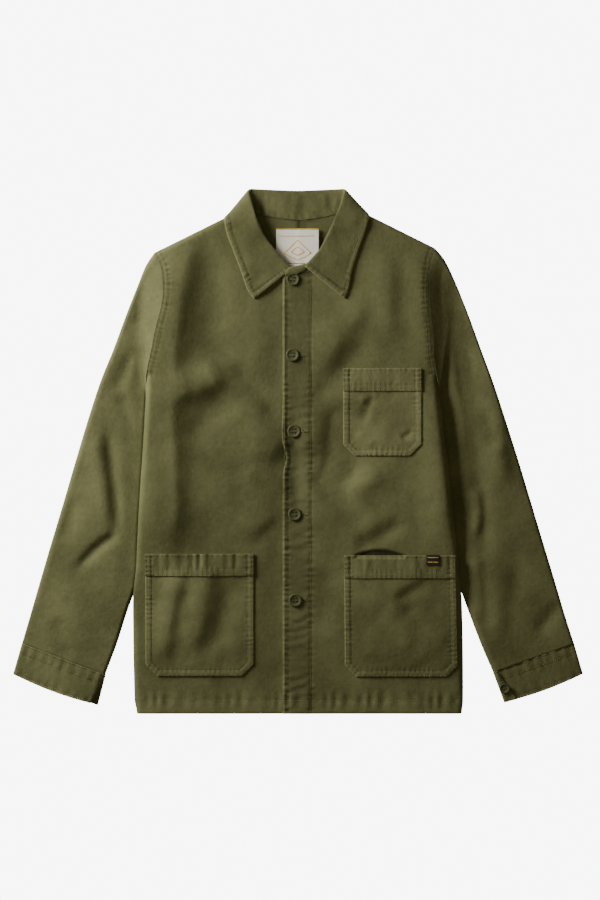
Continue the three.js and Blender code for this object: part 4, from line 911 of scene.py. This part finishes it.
collarThick = 2.0


def neckSeam(side, at):
    sign = -1 if side == "left" else 1
    frontNeck = fronts[side]["grid"][:, -1]
    first = int(np.argmin(np.abs(frontNeck[:, 1] - frontNecks[side][0][1])))
    frontNeck = frontNeck[first:]
    if at <= 1:
        share = abs(frontNeck[0, 0] - sign * 17) / lengths(frontNeck)[-1]
        return along(frontNeck, [mix(share, 1, at)])[0]
    backNeck = backs[side]["grid"][:, -1]
    corner = int(np.argmax(backNeck[:, 1] >= 345.9))
    return along(backNeck[corner:][::-1], [at - 1])[0]


def collarSection(row, side):
    tip = np.array(row["tipL"] if side == "left" else row["tipR"], float)
    edge = np.array(row["edgeL"] if side == "left" else row["edgeR"], float)
    seam = neckSeam(side, row["at"])
    way = tip - seam[:2]
    seam[:2] += way / np.linalg.norm(way) * (1.2 if abs(row["at"] - 1) < 0.08 else 0.3)
    tree = frontTrees[side]

    def faceOver(x, y):
        return topAt(tree, x, y)[0] + collarThick / 2 + 0.8

    end = np.array([*edge, row["edgeZ"] or faceOver(*edge)])
    top = np.array([*tip, row["tipZ"] or seam[2] + (2.0 if side == "left" else 4.5)])
    u = (top - end) / np.linalg.norm(top - end)
    turn = math.radians(row["turn"])
    out = np.array([(-1 if side == "left" else 1) * math.sin(turn), 0, math.cos(turn)])
    out -= u * (out @ u)
    out /= np.linalg.norm(out)
    radius = mix(1.6, 1.2, float(ease(90, 180, row["turn"])))
    centre = top - u * radius
    under = centre - out * radius
    path = [seam, mix(seam, under, 0.5)]
    for angle in (-90, -45, 0, 45, 90):
        a = math.radians(angle)
        path.append(centre + u * radius * math.cos(a) + out * radius * math.sin(a))
    over = path[-1]
    for share in (0.33, 0.67):
        p = mix(over, end, share)
        if row["turn"] < 30:
            p[2] = max(p[2], faceOver(p[0], p[1]))
        path.append(p)
    return np.array(path + [end])


sections = [collarSection(row, "left") for row in collarRows]
sections += [collarSection(row, "right") for row in collarRows[-2::-1]]
grid = finer(np.array(sections), 8)
grid = finer(grid.transpose(1, 0, 2), [7, 7, 3, 3, 3, 3, 8, 8, 8]).transpose(1, 0, 2)
standColumns, foldColumns = 14, 12
fallStart = standColumns + foldColumns
for corner, inward in ((grid[0, -1, :2].copy(), (0.1, 1.0)), (grid[-1, -1, :2].copy(), (-0.3, 0.95))):
    near = np.clip(1 - np.linalg.norm(grid[..., :2] - corner, axis=2) / 12, 0, 1)[..., None] ** 1.5
    grid[..., :2] += 2.2 * near * np.array(inward)
rowsAt = {"near": 1.6, "far": 7.5}
steps = np.linalg.norm(np.diff(grid, axis=1), axis=2)
toEnd = np.concatenate([np.cumsum(steps[:, ::-1], axis=1)[:, ::-1], np.zeros((len(grid), 1))], axis=1)
ends = [nearest(grid[..., 0], grid[..., 1], grid[k, fallStart:, :2]) for k in (0, -1)]
toFront, frontPlace = np.where(ends[0][0] < ends[1][0], ends[0], ends[1])
d = np.minimum(toEnd, toFront)
s = np.where(toEnd < toFront, lengths(grid[:, -1])[:, None] + 0 * d, -frontPlace)
onFall = np.zeros(d.shape)
onFall[:, fallStart:] = 1
onTop = onFall * ease(6, 9, grid[..., 2])
beat = noiseAt(s, s * 0, 20, 8.8)
wave = np.sin(2 * math.pi * s / 7.5 + 4 * beat) * (0.7 + 0.9 * beat)
lowEdges = 0.35 + 0.65 * (1 - ease(262, 285, grid[..., 1]))
edge, edgeTone = turned(d, 7.5, 0.6, 0.5)
far, near = (np.exp(-(((d - rowsAt[k]) / 1.1) ** 2)) for k in ("far", "near"))
around = np.exp(-(((d - 5) / 4) ** 2))
grid[..., 2] += onTop * (edge + 0.75 * lowEdges * wave * around - 0.6 * far - 0.3 * near)
grid[..., 2] += onTop * 1.3 * noiseAt(grid[..., 0], grid[..., 1], 30, 4.9) * ease(6, 20, d)
# painted highlight on the rim and pucker ridges, partly wear, and painted shade in the pucker hollows and along
# the stitch rows, strongest on the lower edges
tone = onTop * (edgeTone + 0.34 * lowEdges * wave * around - (0.35 + 0.4 * lowEdges) * far - 0.2 * near)
stand = np.zeros(d.shape)
stand[:, :standColumns] = np.sin(np.linspace(0.1, 1, standColumns) * math.pi) ** 0.7
inside = stand * (grid[..., 2] < 5.5) * (grid[..., 1] > 340)
x, y = grid[..., 0], grid[..., 1]
neckWay = np.exp(-(((y - 349 - 0.0035 * x**2) / 7) ** 2))
pleats = sum(depth * np.exp(-(((x - at) / reach) ** 2)) for at, reach,
             depth in ((-55, 8, 1.0), (8, 7, 0.9), (50, 7, 0.6), (-24, 9, -0.5)))
grid[..., 2] += inside * (0.9 + 0.9 * noiseAt(x, y, 11, 1.9, (0.7, 2.4)) - 1.4 * pleats)
# painted light and shade along the neck seam's puckers, and painted shade in the stand's pleats
tone += inside * (0.3 * neckWay * np.sin(x / 1.6 + 5 * noiseAt(x, 0 * x, 14, 6.1)) - 0.22 * pleats)
collar = sheetObject("collar_cloth", grid[::-1], collarThick, cloth, rim=0.5, tone=tone[::-1])
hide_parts("collar")
middle = len(grid) // 2
for line, front in ((grid[:middle], grid[0]), (grid[:middle:-1], grid[-1])):
    outer = line[: int(np.argmax(line[:, -1, 1] > 346)), -1, :2]
    leaf = np.concatenate([front[fallStart:, :2], outer])
    way = -1 if front is grid[0] or front[-1, 0] < 0 else 1
    stitchRows += [inset(leaf, way * far) for far in rowsAt.values()]
tabTop = curve([(-19, 265), (-12, 274), (-1, 276.5), (12, 280)])
tabLow = curve([(-18, 260), (-10, 263), (-1, 264.5), (12, 270.5)])
tabEdges = [along(line, np.linspace(0, 1, 24)) for line in (tabLow, tabTop)]
tab = np.array([mix(*tabEdges, share) for share in np.linspace(0, 1, 10)])
under = treeOf(fronts["right"]["piece"], fronts["left"]["piece"])
tabZ = max(topAt(under, x, y)[0] for x, y in tab.reshape(-1, 2)) + 1.6
level = tabZ + 0.9 * np.sin(np.linspace(0, 1, 10) * math.pi)[:, None] + 0 * tab[..., 0]
# painted highlight along the tab's two long edges and a little painted shade between them
tab = sheetObject("neck_tab_cloth", np.dstack([tab, level])[:, ::-1], 1.4, cloth, rim=0.4,
                  tone=0.5 * (np.linspace(-1, 1, 10)[:, None] ** 4) - 0.1 + 0 * level)
print("stage: collar")

# Cuffs: a strip round the wrist from its seam to its edge, as the frame has it
cuffRows = {
    "left": {"seamOuter": (-412.5, -288), "seamInner": (-288.5, -334.5), "edgeOuter": (-426, -335),
             "edgeInner": (-310, -378)},
    "right": {"seamOuter": (414, -288), "seamInner": (293.5, -331), "edgeOuter": (427.5, -334.5),
              "edgeInner": (310.5, -377)},
}
cuffTop, cuffLow = 7.9, 0.8


def cuffPath(side, share):
    rows = {k: np.array(v, float) for k, v in cuffRows[side].items()}
    down = rows["edgeOuter"] - rows["seamOuter"]
    down /= np.linalg.norm(down)
    outer = mix(rows["seamOuter"] + 0.4 * down, rows["edgeOuter"], share)
    inner = mix(rows["seamInner"] + 0.4 * down, rows["edgeInner"], share)
    width = np.linalg.norm(inner - outer)
    across = (inner - outer) / width
    top = cuffTop - 0.5 * share

    def at(d, z):
        sag = 3.2 * share * math.sin(math.pi * min(max(d / width, 0), 1))
        return [*(outer + across * d + down * sag), z]

    outerFold = [at(1.2, mix(cuffLow, top, 0.14)), at(0, mix(cuffLow, top, 0.45)),
                 at(1.2, mix(cuffLow, top, 0.8))]
    below = [at(width * 0.66, cuffLow), at(width * 0.33, cuffLow), at(5, cuffLow)]
    over = [at(5, top), at(width * 0.25, top + 0.5), at(width * 0.5, top + 0.7),
            at(width * 0.75, top + 0.5)]
    if side == "left":
        tongue = [at(width + mix(1, 11, share), cuffLow + 0.5), at(width - 8, cuffLow + 0.1)]
        innerFold = [at(width - 5, top), at(width - 1.2, top - 1.2), at(width, 4.6), at(width - 1.2, 3.2),
                     at(width - 5, 2.6)]
        return np.array([*tongue, *below, *outerFold, *over, *innerFold, at(width - 26, 2.5)])
    lap = mix(4, 19, share)
    innerFold = [at(width - 5, cuffLow), at(width - 1, 2), at(width, 5), at(width - 1, 8.5),
                 at(width - 3, top + 2.1)]
    return np.array([at(width - 4.5, top - 0.1), *over[::-1], *outerFold[::-1], *below[::-1], *innerFold,
                     at(width - lap, top + 2.2)])


for side, wearer in (("left", "right"), ("right", "left")):
    control = np.array([cuffPath(side, share) for share in np.linspace(0, 1, 24)])
    grid = finer(control.transpose(1, 0, 2), 7).transpose(1, 0, 2)
    rows = {k: np.array(v, float) for k, v in cuffRows[side].items()}
    seamLine = np.array([rows["seamOuter"], rows["seamInner"]])
    edgeLine = np.array([rows["edgeOuter"], rows["edgeInner"]])
    turnIn = -1 if side == "left" else 1
    lines = [inset(seamLine, turnIn * 2), inset(seamLine, turnIn * 15), inset(edgeLine, -turnIn * 2)]
    seams = [{"line": line, "reach": 8, "pucker": 0.7, "period": 15, "dent": 0.4, "seed": 50.0 + i,
              "wearAndPaintedLight": 0.16, "dark": 0.22}
             for i, line in enumerate(lines)]
    x, y = grid[..., 0], grid[..., 1]
    onTop = ease(6, 7, grid[..., 2])
    rise, tone = sewn(x, y, seams)
    # lighter along the cuff's edge and seam from wear and painted highlight
    tone += 0.45 * np.exp(-((nearest(x, y, edgeLine)[0] / 1.5) ** 2)) + 0.3 * np.exp(-((nearest(x, y,
        seamLine)[0] / 1.3) ** 2))
    fromOuter = (x - rows["seamOuter"][0]) * (1 if side == "left" else 0)
    grid[..., 2] += onTop * (rise + 0.5 * noiseAt(x, y, 24, 6.6) + 3.4 * ease(0, 100, fromOuter))
    piece = sheetObject(f"cuff_{wearer}_cloth", grid, 1.6, cloth, rim=0.4, tone=tone * onTop)
    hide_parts(f"cuff_{wearer}")
    stitchRows += [along(line, np.linspace(0.02, 0.98, 30)) for line in lines]
print("stage: cuffs")

# Neck label
def labelLevel(x, y):
    rippled = 0.5 * noiseAt(x, y, 22, 1.2) + 0.35 * np.exp(-(((x - 3) / 5) ** 2))
    return lowerHeight("left", 0 * x, y) + 1.5 + 0.045 * (x + 32) + 0.03 * (333 - y) + rippled


x, y = np.meshgrid(np.linspace(-32, 32, 40), np.linspace(274, 333, 40))
level = labelLevel(x, y)
piece = sheetObject("neck_label_cloth", np.stack([x, y, level], axis=-1), 0.6, labelCloth)
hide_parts("neck_label")
goldLines = [
    [(-32, 332.2), (32, 332.2)], [(-25, 322), (25, 322)],
    [(-20, 296), (-9, 307), (0, 316), (9, 307), (20, 296), (9, 290), (0, 286), (-9, 290), (-20, 296)],
    [(-10, 298), (0, 306), (10, 298), (0, 293), (-10, 298)], [(-25, 281), (25, 281)],
]
for number, line in enumerate(goldLines):
    line = along(np.array(line, float), np.linspace(0, 1, 60))
    band = np.array([inset(line, -0.7), inset(line, 0.7)])
    x, y = band[..., 0], band[..., 1]
    z = labelLevel(x, y) + 0.4
    bar = sheetObject(f"neck_label_line_{number + 1}", np.stack([x, y, z], axis=-1), 0.2, goldThread, rim=0)
print("stage: labels")

# Stitches, laid on whatever cloth is uppermost
allCloth = treeOf(*[o for o in bpy.data.objects if o.name.endswith("_cloth")])


def stitchMesh(name, rows, pitch, size, material):
    shape = bmesh.new()
    bmesh.ops.create_uvsphere(shape, u_segments=6, v_segments=4, radius=1)
    bmesh.ops.scale(shape, vec=[s * mm for s in size], verts=shape.verts)
    single = bpy.data.meshes.new("one stitch")
    shape.to_mesh(single)
    shape.free()
    corners = np.array([v.co for v in single.vertices])
    faces = [np.array(p.vertices) for p in single.polygons]
    points, polygons, count = [], [], 0
    for row in rows:
        row = np.asarray(row, float)[:, :2]
        total = lengths(row)[-1]
        if total < pitch:
            continue
        steps = np.arange(pitch / 2, total, pitch)
        for (x, y), (x2, y2) in zip(along(row, steps / total),
                                    along(row, np.clip(steps + 0.8, 0, total) / total)):
            z, normal = topAt(allCloth, x, y)
            way = Vector((x2 - x, y2 - y, 0))
            way -= normal * way.dot(normal)
            if z < 1 or normal.z < 0.3 or way.length < 1e-6:
                continue
            way.normalize()
            turn = np.array((way, normal.cross(way), normal))
            at = np.array((x, y, z + size[2] * 0.35)) * mm
            points.append(corners @ turn + at)
            polygons += [tuple(face + count) for face in faces]
            count += len(corners)
    mesh = bpy.data.meshes.new(name)
    mesh.from_pydata(np.concatenate(points), [], polygons)
    bpy.data.meshes.remove(single)
    mesh.materials.append(material)
    mesh.shade_smooth()
    piece = bpy.data.objects.new(name, mesh)
    bpy.context.scene.collection.objects.link(piece)
    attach(piece, "root")
    return piece


for side in ("left", "right"):
    armhole = curve(armholes[side])
    turnIn = -1 if side == "left" else 1
    stitchRows += [inset(armhole, turnIn * 1.5), inset(armhole, turnIn * 8.5)]
stitchRows.append(np.array([(-238, hemY + 20), (243, hemY + 20)], float))
stitchRows.append(np.array([(19.5, hemY + 1), (19.5, 260)], float))
stitchRows.append(np.array([(overlapEdgeX + 3, hemY + 1), (overlapEdgeX + 3, 258)], float))
stitchMesh("stitching", stitchRows, 3.3, (1.2, 0.5, 0.4), thread)
print("stage: stitches")

# Buttons, their threads and their buttonholes
def buttonMesh(radius, height, hole, spreadOut):
    shape = bmesh.new()
    profile = [
        (0, 0.3), (radius * 0.6, 0.25), (radius * 0.93, height * 0.3), (radius, height * 0.5),
        (radius, height * 0.72),
        (radius * 0.95, height * 0.92), (radius * 0.86, height), (radius * 0.76, height * 0.93),
        (radius * 0.68, height * 0.74), (radius * 0.5, height * 0.62), (0, height * 0.6),
    ]
    verts = [shape.verts.new((r, 0, z)) for r, z in profile]
    edges = [shape.edges.new(pair) for pair in zip(verts, verts[1:])]
    bmesh.ops.spin(shape, geom=verts + edges, cent=(0, 0, 0), axis=(0, 0, 1), angle=2 * math.pi, steps=40,
                   use_merge=True)
    bmesh.ops.remove_doubles(shape, verts=shape.verts, dist=1e-4)
    bmesh.ops.recalc_face_normals(shape, faces=shape.faces)
    mesh = bpy.data.meshes.new("button blank")
    shape.to_mesh(mesh)
    shape.free()
    blank = bpy.data.objects.new("button blank", mesh)
    bpy.context.scene.collection.objects.link(blank)
    cutter = bmesh.new()
    for x, y in ((1, 1), (-1, 1), (-1, -1), (1, -1)):
        place = Matrix.Translation((x * spreadOut, y * spreadOut, height / 2))
        bmesh.ops.create_cone(cutter, cap_ends=True, segments=14, radius1=hole, radius2=hole,
                              depth=height * 3, matrix=place)
    cutMesh = bpy.data.meshes.new("holes")
    cutter.to_mesh(cutMesh)
    cutter.free()
    holes = bpy.data.objects.new("holes", cutMesh)
    bpy.context.scene.collection.objects.link(holes)
    cut = blank.modifiers.new("holes", "BOOLEAN")
    cut.object = holes
    cut.operation = "DIFFERENCE"
    cut.solver = "EXACT"
    result = bpy.data.meshes.new_from_object(blank.evaluated_get(bpy.context.evaluated_depsgraph_get()))
    for spare in (blank, holes):
        bpy.data.objects.remove(spare)
    return result


def placedMesh(name, source, material, transform, smoothAngle=None):
    mesh = source.copy()
    mesh.transform(transform)
    mesh.materials.clear()
    mesh.materials.append(material)
    if smoothAngle:
        mesh.shade_smooth()
        mesh.set_sharp_from_angle(angle=math.radians(smoothAngle))
    piece = bpy.data.objects.new(name, mesh)
    bpy.context.scene.collection.objects.link(piece)
    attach(piece, "root")
    return piece


def threadMesh(spreadOut, height):
    shape = bmesh.new()
    for x in (-spreadOut, spreadOut):
        place = Matrix.Translation((x, 0, height * 0.6 + 0.1))
        scale = Matrix.Diagonal((0.32, spreadOut * 0.85, 0.3, 1))
        bmesh.ops.create_uvsphere(shape, u_segments=8, v_segments=8, radius=1, matrix=place @ scale)
    mesh = bpy.data.meshes.new("button thread")
    shape.to_mesh(mesh)
    shape.free()
    return mesh


# A dark plate inside a button, seen only through its holes: painted shade in the holes
def shadeMesh(radius):
    shape = bmesh.new()
    bmesh.ops.create_circle(shape, cap_ends=True, segments=16, radius=radius)
    mesh = bpy.data.meshes.new("dark of the holes")
    shape.to_mesh(mesh)
    shape.free()
    return mesh


holeShade, tree, shader, place = newMaterial("shadow inside a buttonhole")
depth = noiseNode(tree, place, 2.0, 2)
colour = addNode(tree, "ShaderNodeMix", {"data_type": "RGBA", 6: linear("#14130b"), 7: linear("#201e12")},
                 {0: depth})
tree.links.new(colour.outputs[2], shader.inputs["Base Color"])
shader.inputs["Roughness"].default_value = 0.95


def buttonAt(node, x, y, radius, height, hole, spreadOut, spin, lean=0.8):
    z, _ = topAt(allCloth, x, y)
    east, west, south = (topAt(allCloth, a, b)[0] for a, b in ((x + 6, y), (x - 6, y), (x, y - 6)))
    up = Vector((-(east - west) / 12 * lean, -(z - south) / 6 * lean, 1)).normalized()
    turn = Vector((0, 0, 1)).rotation_difference(up).to_matrix().to_4x4() @ Matrix.Rotation(spin, 4, "Z")
    place = Matrix.Translation(Vector((x, y, z + 0.35)) * mm) @ turn @ Matrix.Scale(mm, 4)
    disc = placedMesh(f"{node}_disc", buttonMesh(radius, height, hole, spreadOut), horn, place,
                      35)
    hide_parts(node)
    placedMesh(f"{node}_holes", shadeMesh(spreadOut + hole + 0.4), holeShade,
               place @ Matrix.Translation((0, 0, 0.9)))
    placedMesh(f"{node}_thread", threadMesh(spreadOut, height), thread, place, 80)


frontButtons = [(-6.8, 256.5), (-7.4, 143.3), (-5.3, 29.6), (-4.4, -95), (-3.2, -223.4)]
for number, (x, y) in enumerate(frontButtons):
    buttonAt(f"button_{number + 1}", x, y, 9.8, 2.6, 1.35, 2.4, 0.05 * (number - 2))
buttonAt("cuff_button_left", 310, -355.6, 7.5, 2.6, 0.8, 1.5, 0.4, 0.3)

holeRows = []
for x, y in frontButtons[1:]:
    t = np.linspace(0, 2 * math.pi, 60)
    holeRows.append(np.stack([x + 8.5 + 12.5 * np.cos(t), y + 1.5 * np.sin(t)], axis=1))
stitchMesh("buttonhole_stitching", holeRows, 0.9, (0.45, 1.05, 0.45), thread)
# painted shade: dark beads along each buttonhole's slit
slitRows = [np.array([(x + 10, y), (x + 19.5, y)], float) for x, y in frontButtons[1:]]
stitchMesh("buttonhole_slits", slitRows, 1.2, (0.9, 0.35, 0.25), holeShade)
print("stage: buttons")
# Camera, light and floor
camera = bpy.data.objects.new("camera", bpy.data.cameras.new("camera"))
camera.data.lens = 85
camera.data.sensor_width = 36
camera.location = (3.75 * mm, 1.2 * mm, 1.3475 * 85 / 36 + 0.01)
bpy.context.scene.collection.objects.link(camera)
bpy.context.scene.camera = camera


def areaLight(name, location, aim, size, power, colour):
    light = bpy.data.lights.new(name, "AREA")
    light.size = size
    light.energy = power
    light.color = linear(colour)[:3]
    lamp = bpy.data.objects.new(name, light)
    lamp.location = location
    lamp.rotation_mode = "QUATERNION"
    lamp.rotation_quaternion = (Vector(aim) - Vector(location)).to_track_quat("-Z", "Y")
    bpy.context.scene.collection.objects.link(lamp)


areaLight("key", (-1.48, 0.92, 0.65), (0.0, -0.05, 0.0), 0.7, 54, "#fffefa")
areaLight("fill", (0.3, 0.2, 2.8), (0, 0, 0), 1.6, 4.0, "#fff2d0")
world = bpy.data.worlds.new("studio")
world.use_nodes = True
world.node_tree.nodes["Background"].inputs["Color"].default_value = linear("#fff0c8")
world.node_tree.nodes["Background"].inputs["Strength"].default_value = 0.1
bpy.context.scene.world = world

shape = bmesh.new()
bmesh.ops.create_grid(shape, x_segments=1, y_segments=1, size=4)
floorMesh = bpy.data.meshes.new("floor")
shape.to_mesh(floorMesh)
shape.free()
paper, tree, shader, place = newMaterial("white paper sweep")
shader.inputs["Base Color"].default_value = linear("#fbfbf9")
shader.inputs["Roughness"].default_value = 0.9
# The lens sees the paper as bright as a lit table, and the jacket sees plain paper
glow = addNode(tree, "ShaderNodeEmission", {"Strength": 8.0})
seen = addNode(tree, "ShaderNodeLightPath").outputs["Is Camera Ray"]
both = addNode(tree, "ShaderNodeMixShader", None, {0: seen, 1: shader.outputs[0], 2: glow.outputs[0]})
tree.links.new(both.outputs[0], tree.nodes["Material Output"].inputs["Surface"])
floorMesh.materials.append(paper)
floor = bpy.data.objects.new("floor", floorMesh)
floor.location.z = -0.0003
bpy.context.scene.collection.objects.link(floor)
print("stage: camera, light and floor")
